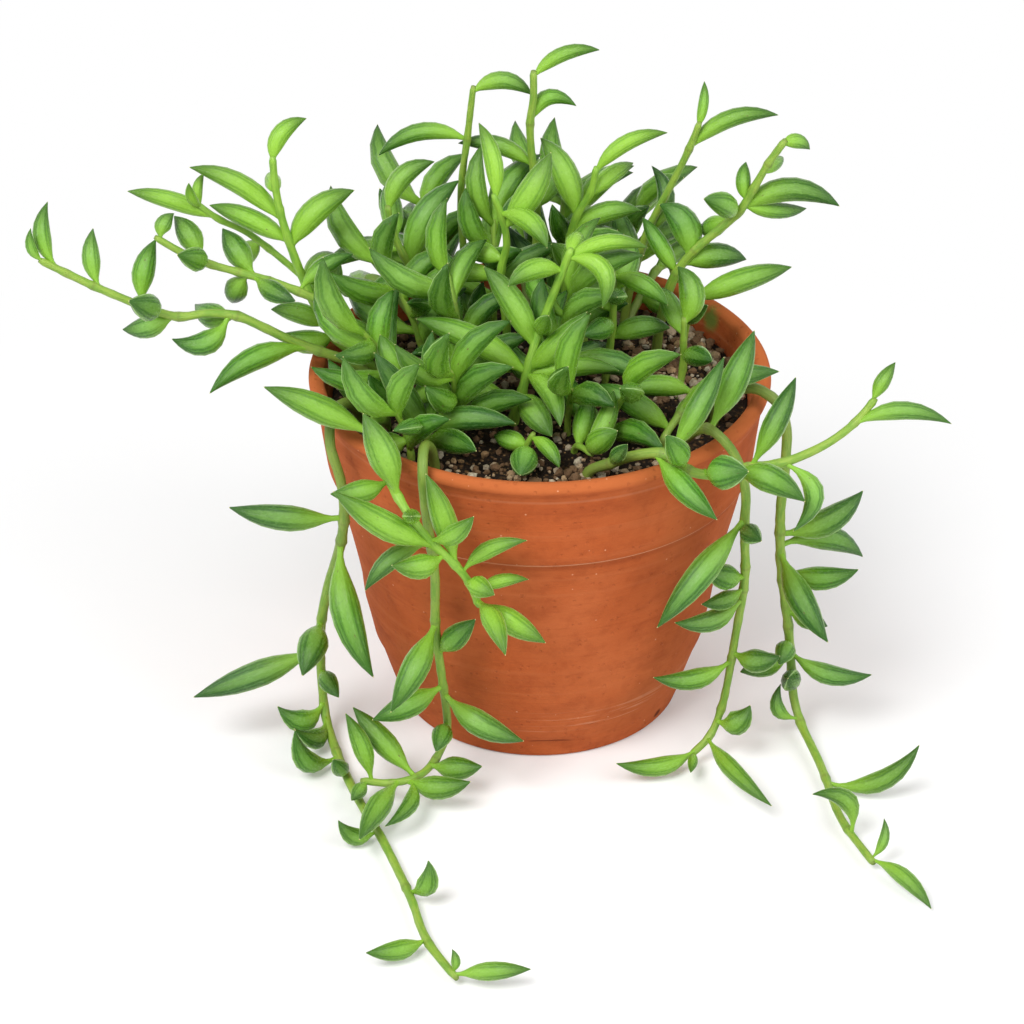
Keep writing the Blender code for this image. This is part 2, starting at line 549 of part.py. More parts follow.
def plan_plant():
    """Place every shoot: a list of (name, stem, leaves that found room)."""
    plans = []
    for name, radius, foot, points, rows in SHOOTS:
        leaves = [(share, leaf_reach(*tip), width, bow) for share, *tip, width, bow in rows]
        plans.append((name, Stem(foot, points, radius), leaves))
    for number, (name, foot, height, heading, lean, count) in enumerate(TUFTS):
        stem = Stem(foot, tuft_points(foot, height, heading, lean), TUFT_STEM_RADIUS)
        plans.append((name, stem, grown_leaves(stem, count, 0.25, 77 * number)))
    for number, (name, heading, drop, count) in enumerate(BACK_TRAILS):
        turn = math.radians(heading)
        foot = (TRAIL_FOOT_REACH * math.cos(turn), TRAIL_FOOT_REACH * math.sin(turn))
        stem = Stem(foot, trail_points(heading, drop), TRAIL_STEM_RADIUS)
        plans.append((name, stem, grown_leaves(stem, count, 0.2, 50 * number)))
    room = Room()
    for owner, (name, stem, leaves) in enumerate(plans):
        shares = stem.stations(2)
        places = np.array([stem.place(s) for s in shares])
        room.add(places, np.array([stem.thickness(s) for s in shares]), owner)
    plant = []
    for owner, (name, stem, leaves) in enumerate(plans):
        placed = []
        for share, reach, width, arch in leaves:
            start = min(share, 1 - STALK_SEAT / stem.length)
            settled = room.settle(Leaf(stem.place(start), reach, width, arch), owner)
            if settled:
                placed.append(settled)
        plant.append((name, stem, placed))
    return plant


def loft(form, rings, start_tip, end_tip):
    """Skin a row of rings, with a point or a flat cap at each end."""
    loops = [[form.verts.new(Vector(p) * MM) for p in ring] for ring in rings]
    for lower, upper in zip(loops, loops[1:]):
        for k in range(len(lower)):
            n = (k + 1) % len(lower)
            form.faces.new((lower[k], lower[n], upper[n], upper[k]))
    for loop, tip, flip in ((loops[0], start_tip, True), (loops[-1], end_tip, False)):
        if tip is None:
            form.faces.new(loop[::-1] if flip else loop)
            continue
        point = form.verts.new(Vector(tip) * MM)
        for k in range(len(loop)):
            pair = (loop[k], loop[(k + 1) % len(loop)])
            form.faces.new((*(pair[::-1] if flip else pair), point))


def add_stem(form, stem):
    """Skin the stem's tube, keeping its rings from twisting."""
    rings = []
    side = None
    for share in stem.along / stem.length:
        along = stem.direction(share)
        if side is None:
            side = np.cross(along, [0, 1, 0])
        side = side - along * np.dot(side, along)
        side /= np.linalg.norm(side)
        other = np.cross(along, side)
        turns = [math.tau * k / STEM_SIDES for k in range(STEM_SIDES)]
        radius = stem.thickness(share)
        rings.append([stem.place(share) + (side * math.cos(a) + other * math.sin(a)) * radius for a in turns])
    loft(form, rings, None, None)


def add_leaf(form, leaf):
    """Skin a leaf: rings along its spine, pointed at both ends."""
    rings = []
    for t in LEAF_RINGS:
        half = leaf.half_width(t)
        turns = [math.tau * k / LEAF_SIDES for k in range(LEAF_SIDES)]
        rings.append([leaf.spine(t) - leaf.left() * math.cos(a) * half
                      + leaf.face() * math.sin(a) * half * LEAF_DEPTH_RATIO for a in turns])
    loft(form, rings, leaf.spine(0), leaf.spine(1))


def mesh_from(name, build, pieces):
    """Fill a mesh with one closed form for each piece."""
    mesh = bpy.data.meshes.new(name)
    form = bmesh.new()
    for piece in pieces:
        build(form, piece)
    bmesh.ops.recalc_face_normals(form, faces=form.faces)
    form.to_mesh(mesh)
    form.free()
    return mesh


def add_boolean(thing, cutter, operation):
    """Join or cut with another object."""
    modifier = thing.modifiers.new(operation.title(), "BOOLEAN")
    modifier.object = cutter
    modifier.operation = operation
    modifier.solver = "EXACT"
    modifier.use_self = operation == "UNION"


def make_pot(parent):
    """The clay pot with its lip, collar and drain hole."""
    mesh = turned_mesh("pot", pot_outline(), POT_SIDES, True)
    return add_object("pot", mesh, make_material("clay", CLAY, 0.8), parent)


def make_soil(parent, plant):
    """The soil, with a planting hole for the foot of each stem."""
    mesh = turned_mesh("soil", soil_outline(), SOIL_SIDES, False)
    soil = add_object("soil", mesh, make_material("earth", EARTH, 0.95), parent)
    form = bmesh.new()
    low = ROOT_DEPTH - GAP
    for name, stem, leaves in plant:
        radius = (stem.radius + ROOT_HOLE_CLEARANCE) * MM
        hole = bmesh.ops.create_cone(form, cap_ends=True, segments=6, radius1=radius, radius2=radius,
                                     depth=2 * (ROOT_TOP - low) * MM)
        bmesh.ops.translate(form, verts=hole["verts"], vec=Vector((*stem.route[0][:2], ROOT_TOP)) * MM)
    holes_mesh = bpy.data.meshes.new("planting_holes")
    form.to_mesh(holes_mesh)
    form.free()
    holes = add_object("planting_holes", holes_mesh, None, parent)
    hide_cutter(holes)
    add_boolean(soil, holes, "DIFFERENCE")
    return soil


def make_shoot(parent, name, stem, leaves, material):
    """One shoot: its stem and all its leaves grown into one solid."""
    shoot = add_object(name, mesh_from(name, add_stem, [stem]), material, parent)
    if leaves:
        blades = add_object(name + "_leaves", mesh_from(name + "_leaves", add_leaf, leaves), None, parent)
        hide_cutter(blades)
        add_boolean(shoot, blades, "UNION")
    return shoot


def main():
    remove_everything()
    axis = bpy.data.objects.new("pot_axis", None)
    axis.location = Vector((*POT_AXIS, 0)) * MM
    bpy.context.scene.collection.objects.link(axis)
    plant = plan_plant()
    make_pot(axis)
    make_soil(axis, plant)
    green = make_material("leaf_green", LEAF_GREEN, 0.5)
    young = make_material("young_green", YOUNG_GREEN, 0.45)
    for name, stem, leaves in plant:
        make_shoot(axis, name, stem, leaves, young if "light" in name else green)
    bpy.context.view_layer.update()


main()
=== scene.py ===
"""The looks of a string of bananas, a trailing succulent, in a clay pot.

It is laid out as an add-on and run as a script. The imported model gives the
frame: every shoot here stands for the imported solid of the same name, and grows
from the same plan of routes and leaves. Lengths in the tables are millimetres
and angles are degrees; a heading is measured in plan from +X towards +Y, and a
rise upwards from the level.
"""
import math
import random

import bpy
import numpy as np
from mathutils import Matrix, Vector, noise


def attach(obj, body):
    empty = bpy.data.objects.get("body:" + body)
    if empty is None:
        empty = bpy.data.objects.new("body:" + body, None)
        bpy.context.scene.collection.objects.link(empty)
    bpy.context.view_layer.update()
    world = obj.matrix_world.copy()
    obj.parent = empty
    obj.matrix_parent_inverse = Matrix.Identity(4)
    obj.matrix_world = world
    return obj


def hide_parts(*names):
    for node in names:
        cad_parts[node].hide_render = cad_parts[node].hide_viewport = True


bl_info = {
    "name": "Potted String of Bananas",
    "version": (1, 0, 0),
    "blender": (4, 5, 0),
    "location": "View3D > Sidebar > String of Bananas",
    "description": "Models a trailing succulent in its clay pot, with its soil, grit and leaves",
    "category": "Object",
}

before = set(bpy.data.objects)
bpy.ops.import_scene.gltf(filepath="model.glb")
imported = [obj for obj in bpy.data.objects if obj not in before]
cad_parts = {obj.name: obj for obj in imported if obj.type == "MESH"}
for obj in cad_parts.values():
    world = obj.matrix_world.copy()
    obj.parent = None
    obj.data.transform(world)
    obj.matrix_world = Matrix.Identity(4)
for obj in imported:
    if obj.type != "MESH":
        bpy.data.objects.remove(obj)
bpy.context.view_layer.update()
MM = 0.001

# ---- Plan ----

# The plan of the plant: the same numbers and rules that its solids grew from.

# Where the pot stands: the frame's origin is the middle of the whole footprint.
POT_AXIS = (16, 34)

# Pot
POT_HEIGHT = 113
RIM_RADIUS = 70
LIP_HEIGHT = 7
COLLAR_EDGE_HEIGHT = 83
COLLAR_STEP = 1.2
FOOT_RADIUS = 44
WALL = 5
FLOOR_THICKNESS = 7
DRAIN_RADIUS = 6

# Soil
SOIL_EDGE_HEIGHT = 103
SOIL_CROWN_HEIGHT = 105

# How the pieces meet
GAP = 0.3
ROOT_DEPTH = 97
ROOT_MIDDLE = 102
ROOT_TOP = 106

# Shape of stems and leaves
STEM_STEP = 9
PETIOLE_RADIUS = 0.9
STALK_SEAT = 2
LEAF_DEPTH_RATIO = 0.85
SPLINE_STEPS = 10

# Room that leaves keep around themselves. A leaf is tried at these swings, in
# degrees, towards some of the sides of a full turn: side 0 faces the light.
LEAF_CLEARANCE = 0.35
GROUND_CLEARANCE = 0.1
INNER_WALL_CLEARANCE = 0.5
SOIL_CLEARANCE_SHARE = 0.9
LEAF_SAMPLES = 9
STALK_SAMPLES = 3
END_ON = 0.15
ROOM_TURNS = (0, 6, 12, 18, 26, 34, 44, 56)
ROOM_DIRECTIONS = 8
LIGHT_TURNS = (0, 6, 12, 18, 26, 34)
LIGHT_DIRECTIONS = (0, ROOM_DIRECTIONS // 2)
ROOM_SHRINKS = (1.0, 0.8, 0.6)

# The plant turns to a light in front of it, this many degrees above the ground.
LIGHT_RISE = math.radians(32)
ACROSS = np.array([1, 0, 0])
UPWARD = np.array([0, math.sin(LIGHT_RISE), math.cos(LIGHT_RISE)])
TO_LIGHT = np.array([0, -math.cos(LIGHT_RISE), math.sin(LIGHT_RISE)])

# Each shoot: name, stem radius, foot (x, y) in the soil, the route's points above
# the soil, and its leaves. A leaf is (place along the stem, how far its tip reaches
# across, up and out as the light sees it, width, bow to its left in hundredths).
SHOOTS = [
    ("front_left_light_trail", 1.7, (-46, -22),
     [(-47, -33, 114), (-49, -46, 119), (-46, -57, 113), (-38, -72, 105), (-30, -74, 95),
      (-22, -73, 85), (-18, -71, 73)],
     [(0.37, -32, 14, 4, 9, -2), (0.58, -10, 24, 6, 10, -3),
      (0.52, -17, -4, 4, 7.5, 8), (0.84, -9, 28, 4, 8, -3), (0.87, 20, 10, 0, 5.5, 12),
      (0.73, 15, 8, 10, 6.5, -10), (0.95, 16, 4, 0, 4.5, 10), (1, 20, -12, 4, 8, 0),
      (0.98, 12, -22, 6, 7, 6), (0.79, -15, -3, 8, 8, 12), (0.76, -31, 17, 0, 9, 4),
      (0.9, 8, -4, 10, 7, 0), (0.65, -4, -10, 8, 6, 0)]),
    ("right_reaching", 1.7, (14, -50),
     [(22, -54, 112), (34, -59, 118), (46, -64, 113), (58, -61, 114), (70, -58, 114),
      (82, -53, 117), (90, -49, 121), (97, -45, 128)],
     [(0.35, 16, 29, 0, 7.5, -2), (0.59, 13, 26, 0, 7.5, -2), (0.31, 17, -19, 14, 8, -3),
      (0.4, -14, -5, 10, 8, -3), (0.46, 10, -13, 10, 11, 0), (0.53, 22, -9, 2, 9, 10),
      (0.68, 3, -20, 0, 6.5, 38), (0.89, 30, 1, 0, 6, 15), (0.99, 7, 12, 0, 5, 3),
      (0.16, 7, -5, 16, 5, 0)]),
    ("front_middle_light", 1.6, (-8, -20),
     [(-6, -20, 113), (-4, -19, 122), (-1, -15, 131), (3, -12, 142), (7, -11, 153), (9, -11, 159)],
     [(0.38, -33, 16, 0, 9, -5), (0.2, -23, 15, 0, 8.5, 6), (0.37, 13, -21, 8, 7, 12),
      (0.27, 5, -7, 18, 9, 0), (0.34, 28, 3, 0, 7, 10), (0.5, -15, 24, 0, 8.5, -6),
      (0.93, 24, 4, 0, 5.5, 15), (0.95, 10, -15, 4, 6.5, 35), (0.98, 5, 11, -8, 6, 0),
      (0.88, -16, -5, 8, 7, -15), (0.4, 18, 17, -6, 8.5, -5), (0.57, 7, 11, 6, 6, 0)]),
    ("front_left_short_trail", 1.6, (-31, -46),
     [(-32, -50, 114), (-34, -59, 119), (-34, -65, 112), (-33, -64, 98), (-31, -63, 80),
      (-31, -60, 58), (-29, -56, 34), (-28, -54, 18), (-31, -58, 10), (-40, -68, 8), (-54, -66, 7)],
     [(0.35, -19, -14, 4, 6.5, -12), (0.53, -13, -26, 8, 9, 2), (0.6, 6, 10, 16, 8, 0),
      (0.68, -21, -10, 8, 8.5, 3), (0.7, 24, -14, 6, 8.5, -8), (0.77, -3, -8, 12, 7, 0),
      (0.86, 16, 0, 6, 8, -5), (0.92, 18, 11, -4, 8, -10), (0.9, -19, 21, -4, 8, 0),
      (0.98, -8, 22, 0, 6.5, -5), (0.93, -14, -20, 24, 8, -2), (0.91, -7, -13, 20, 5.5, 15),
      (1, -5, -6, 8, 5, 0)]),
    ("front_left_long_trail", 1.7, (-54, -18),
     [(-56, -26, 115), (-60, -35, 119), (-62, -42, 113), (-58, -47, 98), (-59, -42, 78),
      (-64, -35, 56), (-67, -30, 36), (-67, -28, 18), (-66, -31, 6), (-61, -50, 3),
      (-54, -72, 3), (-47, -90, 3), (-38, -118, 3), (-33, -138, 3), (-24, -156, 3)],
     [(0.24, -34, 3, 0, 8.5, 5), (0.28, 10, -40, 6, 10, -8), (0.41, -5, -16, 16, 10, 0),
      (0.45, -39, -15, 0, 9, 1), (0.52, -14, -1, 6, 8, 35), (0.54, -15, -4, 10, 7, 28),
      (0.6, -20, -2, 6, 7.5, 30), (0.48, 6, -8, 12, 6.5, 0), (0.63, 4, -6, 12, 6, 0),
      (0.74, -12, 4, 6, 6, 25), (0.85, 6, 10, 8, 7, -25), (0.93, -19, -3, 7, 6.5, 6),
      (1, 22, 2, 4, 6, 2), (0.99, 0, 7, 2, 3, -15)]),
    ("right_hanging_trail", 1.6, (40, -38),
     [(44, -42, 114), (50, -48, 119), (57, -51, 111), (60, -50, 98), (60, -49, 86),
      (61, -45, 66), (59, -41, 42), (56, -41, 18), (51, -46, 7), (46, -49, 4)],
     [(0.18, 13, 29, 0, 9, -2), (0.4, -26, -32, 4, 9, 0), (0.55, -13, 2, 10, 8.5, 7),
      (0.58, -13, -5, 6, 6, 10), (0.61, -20, -7, 6, 7, 15), (0.77, -24, -5, 6, 7, 13),
      (0.75, 14, -1, 6, 8, -14), (0.91, 10, 5, 6, 8.5, -25), (0.98, -26, -4, 7, 6.5, 12),
      (0.95, 18, -19, 28, 6, -3), (0.43, 4, -3, 16, 7, 0), (1, -2, -7, 10, 3.5, 0)]),
    ("right_long_trail", 1.7, (52, -18),
     [(57, -20, 115), (65, -24, 119), (72, -27, 112), (73, -29, 98), (72, -30, 80),
      (73, -29, 60), (76, -28, 38), (78, -28, 18), (80, -30, 6), (86, -54, 3), (90, -80, 3),
      (98, -102, 3)],
     [(0.36, 25, 13, 0, 9, -12), (0.38, 29, -4, 0, 8.5, 15), (0.42, 23, 0, 4, 8, -12),
      (0.39, 14, -28, 6, 9, -4), (0.49, 8, -8, -8, 7, 0), (0.61, -10, 6, 12, 8, 0),
      (0.57, -11, -9, 8, 8, 0), (0.56, 25, -7, 2, 7, -14), (0.67, -6, 11, 4, 5, 35),
      (0.81, 31, 3, 0, 7, -18), (0.93, -12, 12, 4, 6.5, -35), (0.99, 4, 12, 0, 3.5, -15),
      (1, 16, -13, 18, 5.5, 8), (0.54, -5, -10, 4, 7, 0)]),
    ("front_low_left", 1.4, (-33, -33),
     [(-34, -30, 110), (-37, -26, 116), (-42, -23, 121)],
     [(0.35, -17, 27, 4, 8.5, -2), (0.45, 30, 1, 0, 8, 8), (0.32, 24, -6, 10, 8, 5),
      (0.72, 6, 13, -12, 8, -8), (0.98, 11, 9, -10, 6, 0), (0.4, 1, 11, -16, 6, 0),
      (0.95, -6, 14, -8, 8, 0)]),
    ("front_low_middle", 1.2, (-4, -38),
     [(-4, -40, 109), (-3, -41, 111), (-2, -41, 114)],
     [(0.6, -2, -8, 16, 9, 0), (0.9, 8, -9, 8, 5, 10), (0.7, -10, 3, -6, 6.5, 0),
      (0.95, 4, 8, -6, 7, 0)]),
    ("front_low_right", 1.2, (10, -36),
     [(11, -40, 109), (13, -44, 110), (15, -47, 110)],
     [(0.85, 8, 18, -4, 6.5, -8), (0.98, 12, 9, 4, 8, 5), (0.6, -4, 15, -8, 7, 0)]),
    ("right_front_inner", 1.4, (36, -34),
     [(38, -31, 110), (42, -26, 113), (46, -21, 118)],
     [(0.48, -21, 13, 6, 8, -3), (0.73, 29, 11, 0, 8, 10), (0.97, -21, 0, 0, 7, -10),
      (0.55, 13, 11, -10, 8, 0)]),
    ("left_upright_light", 1.6, (-50, 10),
     [(-56, 9, 112), (-63, 9, 119), (-70, 9, 135), (-75, 9, 151), (-78, 9, 165), (-79, 9, 179)],
     [(1, 10, 13, 0, 6, 20), (0.66, 19, 17, 0, 8.5, 12), (0.76, -28, 16, 0, 7, -10),
      (0.68, -24, 11, 0, 7, -5), (0.87, -3, 7, -16, 5.5, 0), (0.37, -7, 17, 10, 8, 0),
      (0.32, 12, -3, 8, 7, 15), (0.34, -17, 5, 0, 7, -8), (0.3, -15, 4, 0, 8, 15),
      (0.5, 11, 7, -12, 7, 8)]),
    ("left_side_branch_light", 1.3, (-44, 20),
     [(-54, 18, 115), (-68, 18, 130), (-80, 18, 142), (-90, 17, 151), (-97, 16, 155), (-103, 16, 160)],
     [(0.91, -27, 8, 0, 6, -4), (1, 1, 10, 0, 3.5, 15), (0.98, -4, 9, 4, 3.5, 12),
      (0.74, -7, -5, -18, 7, 0)]),
    ("middle_upright_light", 1.5, (-10, 12),
     [(-10, 12, 120), (-12, 12, 136), (-10, 12, 148), (-12, 12, 160), (-14, 12, 165)],
     [(0.98, -5, 23, 0, 6, -8), (0.83, 14, 22, 6, 9, -5), (0.9, 16, -13, 6, 7, 15),
      (0.57, -26, -3, 0, 7, -14), (0.67, -12, 5, -12, 7, 0)]),
    ("back_middle_tall", 1.6, (-1, 38),
     [(-1, 38, 125), (-1, 38, 150), (-3, 38, 172), (-2, 38, 184), (-2, 38, 193)],
     [(0.98, 20, 8, 0, 5, 14), (0.82, 14, 5, 0, 5.5, 36), (0.67, -23, 7, 0, 6, -12),
      (0.57, -11, -8, 14, 7, 0), (0.52, 8, 16, -8, 8, 0), (0.47, -10, 13, -8, 7, 8)]),
    ("back_left_arching", 1.4, (-22, 40),
     [(-23, 40, 125), (-24, 40, 150), (-22, 40, 169), (-20, 40, 187)],
     [(0.98, 18, -1, 0, 6, 22), (0.8, -27, -5, 0, 6, -18)]),
    ("back_left_hooked", 1.5, (-32, 25),
     [(-35, 25, 118), (-38, 25, 130), (-42, 25, 139), (-45, 26, 147), (-46, 26, 154)],
     [(0.98, 14, 15, 0, 7, 20), (0.62, 15, 27, 0, 9, 13), (0.74, -25, -6, 0, 6.5, -12),
      (0.81, -3, 18, -8, 7.5, 0), (0.66, -21, 7, -12, 7, -8), (0.54, -14, -5, 12, 8, -8)]),
    ("back_middle_right_light", 1.5, (8, 30),
     [(8, 30, 122), (9, 30, 139), (11, 30, 148), (15, 30, 155), (17, 30, 165)],
     [(0.99, 22, 12, 0, 5.5, 13), (0.74, -11, 24, 0, 9, -8), (0.85, 14, 11, -8, 6, 5),
      (0.67, 21, 6, 0, 7, 12), (0.72, 9, 10, -14, 7, 0), (0.55, 9, -3, 18, 7.5, 8)]),
    ("back_right_tall", 1.5, (26, 34),
     [(28, 34, 122), (33, 34, 141), (40, 34, 157), (45, 34, 169), (48, 34, 178)],
     [(0.99, 2, 14, 0, 3.5, -5), (0.89, 27, 10, 0, 6, 14), (0.53, 1, 20, 0, 6, -25),
      (0.4, -6, 17, -4, 8, 5), (0.46, 17, 8, -8, 7, 8)]),
    ("crown_right", 1.4, (20, 5),
     [(21, 5, 115), (22, 5, 128), (22, 5, 143)],
     [(0.5, 18, 3, 0, 7.5, 10), (0.97, 16, -9, 6, 6.5, 10), (0.7, -8, 11, -6, 8, 0),
      (0.85, 6, 16, -4, 8, -5), (0.6, -9, -4, 14, 7.5, 0), (0.78, 10, 8, 14, 7, 5)]),
    ("right_inner_upright", 1.3, (42, -3),
     [(43, -2, 112), (43, -2, 121), (43, -2, 131)],
     [(0.97, -2, 17, 0, 8.5, -20), (0.6, 8, -2, 16, 7, 5), (0.82, -6, 15, -12, 7, 0)]),
    ("right_back_low", 1.3, (44, 14),
     [(44, 16, 113), (45, 16, 120), (47, 16, 129)],
     [(0.97, 30, 10, 0, 8, 3), (0.7, 8, 6, 14, 6.5, 5)]),
    ("right_back_cluster", 1.6, (36, 22),
     [(38, 22, 122), (43, 22, 136), (52, 22, 146), (60, 22, 154), (67, 22, 168), (73, 22, 178)],
     [(0.47, -9, 16, 0, 10, -20), (0.4, -6, 18, -6, 6, 0), (0.68, -10, 4, 14, 8, -8),
      (0.66, -9, -3, -14, 7, 0), (0.44, 19, 6, 0, 8.5, 10), (0.71, 30, 1, 0, 8, 19),
      (0.73, 20, 0, -12, 5.5, -5), (0.75, 0, 10, 6, 5, 8), (1, 9, 3, 0, 5, 20),
      (0.86, 7, 6, -12, 4.5, 0)]),
    ("left_reaching_long", 1.6, (-45, -4),
     [(-56, -4, 116), (-73, -5, 124), (-93, -5, 134), (-109, -5, 133), (-130, -5, 142), (-148, -5, 152)],
     [(0.3, -30, -14, 12, 8, -12), (0.52, -17, -7, 0, 8, 28), (0.65, -17, -4, 0, 7.5, 7),
      (0.69, -7, 2, 20, 9, 0),
      (0.5, -19, 6, 0, 8.5, 10), (0.73, 4, 20, 0, 7.5, 8), (0.84, -2, 18, 0, 6, 9),
      (0.95, -3, 20, 0, 6, 16), (1, -4, 11, 0, 3.5, 18)]),
    ("left_reaching_short", 1.5, (-42, 4),
     [(-52, 2, 120), (-64, 0, 134), (-80, 0, 142), (-101, 0, 149), (-114, 0, 157)],
     [(0.68, -10, 15, 0, 8.5, 0), (0.84, -9, 14, 0, 8, -5), (0.83, -7, 1, 18, 8, 0),
      (0.7, -11, 6, -10, 8, -5), (0.54, 10, 7, -16, 6, 10), (0.68, 13, -8, 12, 7, -5),
      (1, 2, 9, 0, 5.5, 15)]),
]

# Short upright tufts that fill the middle of the pot: name, foot (x, y), height,
# heading of the lean, how far it leans, and how many leaves.
TUFTS = [
    ("tuft_left_front", (-40, -14), 30, 200, 10, 8),
    ("tuft_left_back", (-34, 10), 34, 150, 12, 8),
    ("tuft_middle_left", (-22, -8), 38, 120, 8, 9),
    ("tuft_middle", (4, -10), 34, 60, 8, 9),
    ("tuft_middle_back", (-14, 24), 40, 90, 6, 9),
    ("tuft_middle_right", (14, 20), 32, 110, 6, 8),
    ("tuft_right_back", (14, 42), 36, 100, 8, 8),
    ("tuft_right_front", (20, -28), 17, 330, 5, 6),
    ("tuft_front_left", (-24, -26), 24, 250, 5, 8),
    ("tuft_front_middle", (8, -26), 18, 280, 5, 7),
    ("tuft_left_edge", (-38, -41), 18, 215, 4, 6),
    ("tuft_back_left", (-30, 46), 34, 120, 10, 8),
    ("tuft_back", (6, 50), 36, 80, 8, 8),
    ("tuft_back_right", (26, 52), 28, 60, 8, 7),
]

# Shoots that hang over the back of the rim: name, heading of the point where they
# cross it, how far down they hang, and how many leaves.
BACK_TRAILS = [
    ("back_trail_far_left", 136, 48, 8),
    ("back_trail_left", 116, 74, 10),
    ("back_trail_middle", 94, 60, 9),
    ("back_trail_right", 74, 84, 11),
    ("back_trail_far_right", 56, 40, 7),
]
TUFT_STEM_RADIUS = 1.2
TUFT_BEND = ((0.35, 0.3), (0.7, 0.75), (1, 1.4))
TRAIL_STEM_RADIUS = 1.5
TRAIL_FOOT_REACH = 50
TRAIL_RIM_GAP = 2.5
FIRST_TUFT_LEAF = 0.25
FIRST_TRAIL_LEAF = 0.2
TUFT_TURN = 77
TRAIL_TURN = 50
STEM_BALL_STEP = 2
GOLDEN_ANGLE = 137.5
GROWN_LEAF_LENGTHS = (27, 23, 29, 25, 21)
GROWN_LEAF_WIDTHS = (8, 7.5, 8.5, 7, 8)
GROWN_LEAF_ARCH = 15
GROWN_LEAF_SPREAD = 52
END_LEAF_SPREAD = 15
ODD_WAY = (0.31, 0.87, 0.38)


def pot_wall_radius(height):
    """Outer radius of the pot's wall at a height."""
    heights = (0, 8, 22, 60, COLLAR_EDGE_HEIGHT)
    radii = (FOOT_RADIUS, 46.2, 50.5, 58.3, 63.6)
    return float(np.interp(height, heights, radii))


def pot_inner_radius(height):
    """Radius of the pot's hollow at a height."""
    low = pot_wall_radius(FLOOR_THICKNESS) - WALL
    return float(np.interp(height, (FLOOR_THICKNESS, POT_HEIGHT - 4), (low, RIM_RADIUS - 5.6)))


def soil_height(reach):
    """Height of the soil, which is a low mound, at a distance from the axis."""
    share = min(1, reach / pot_inner_radius(SOIL_EDGE_HEIGHT))
    return SOIL_EDGE_HEIGHT + (SOIL_CROWN_HEIGHT - SOIL_EDGE_HEIGHT) * math.cos(share * math.pi / 2)


def smooth_route(points):
    """A Catmull-Rom curve through the points, as an array of places."""
    p = [Vector(q) for q in points]
    p = [2 * p[0] - p[1]] + p + [2 * p[-1] - p[-2]]
    places = []
    for a, b, c, d in zip(p, p[1:], p[2:], p[3:]):
        for k in range(SPLINE_STEPS):
            t = k / SPLINE_STEPS
            bend = 2 * a - 5 * b + 4 * c - d
            twist = 3 * b - a - 3 * c + d
            places.append(0.5 * (2 * b + (c - a) * t + bend * t * t + twist * t ** 3))
    places.append(p[-2])
    return np.array(places)


def distances_along(route):
    """How far each point of a route is from its start."""
    steps = np.linalg.norm(np.diff(route, axis=0), axis=1)
    return np.concatenate([[0], np.cumsum(steps)])


class Stem:
    """A stem: a smooth route, its radius, and places along it."""

    def __init__(self, foot, points, radius):
        rooted = [(*foot, height) for height in (ROOT_DEPTH, ROOT_MIDDLE, ROOT_TOP)]
        smooth = smooth_route(rooted + list(points))
        reach = distances_along(smooth)
        count = max(3, round(reach[-1] / STEM_STEP))
        even = np.linspace(0, reach[-1], count + 1)
        self.route = np.array([np.interp(even, reach, smooth[:, k]) for k in range(3)]).T
        self.along = distances_along(self.route)
        self.length = float(self.along[-1])
        self.radius = radius

    def place(self, share):
        """The point at a share of the stem's length."""
        reach = share * self.length
        return np.array([np.interp(reach, self.along, self.route[:, k]) for k in range(3)])

    def direction(self, share):
        """The unit direction of growth at a share of the stem's length."""
        step = 1.5 / self.length
        ahead = self.place(min(1, share + step)) - self.place(max(0, share - step))
        return ahead / np.linalg.norm(ahead)

    def share_of(self, place):
        """The share of the stem's length that is nearest to a place."""
        nearest = int(np.argmin(np.linalg.norm(self.route - place, axis=1)))
        return float(self.along[nearest] / self.length)

    def stations(self, spacing):
        """Evenly spaced shares from the foot to the end."""
        count = max(3, round(self.length / spacing))
        return [k / count for k in range(count + 1)]

    def thickness(self, share):
        """The stem's radius, which narrows towards its growing end."""
        return self.radius * (1 - 0.3 * share)


class Leaf:
    """A leaf: a bowed spine from the stem's axis to a pointed tip."""

    def __init__(self, base, reach, width, arch):
        self.base = base
        self.length = float(np.linalg.norm(reach))
        self.chord = reach / self.length
        self.width = width
        self.arch = arch / 100

    def face(self):
        """The side that the leaf turns to the light, square to its chord."""
        side = TO_LIGHT - self.chord * np.dot(TO_LIGHT, self.chord)
        size = np.linalg.norm(side)
        if size < END_ON:
            side = UPWARD - self.chord * np.dot(UPWARD, self.chord)
            size = np.linalg.norm(side)
        return side / size

    def left(self):
        """The side on the leaf's left, as the light sees it grow."""
        return np.cross(self.face(), self.chord)

    def spine(self, t):
        """The spine's point at a share of the leaf's length."""
        lift = 4 * self.arch * t * (1 - t)
        return self.base + (self.chord * t + self.left() * lift) * self.length

    def half_width(self, t):
        """Half the leaf's width at a share of its length."""
        blade = self.width / 2 * max(0, 4 * t * (1 - t)) ** 0.9
        return max(blade, PETIOLE_RADIUS * (1 - t)) if t < 0.5 else blade

    def turned(self, amount, side):
        """The same leaf swung by an angle towards a side of its chord."""
        towards = self.face() * math.cos(side) + self.left() * math.sin(side)
        chord = self.chord * math.cos(amount) + towards * math.sin(amount)
        return Leaf(self.base, chord * self.length, self.width, self.arch * 100)

    def spheres(self):
        """Balls that fill the leaf, as places and radii."""
        shares = [(k + 1) / LEAF_SAMPLES for k in range(LEAF_SAMPLES)]
        places = np.array([self.spine(t) for t in shares])
        radii = np.array([self.half_width(t) for t in shares])
        return places, radii


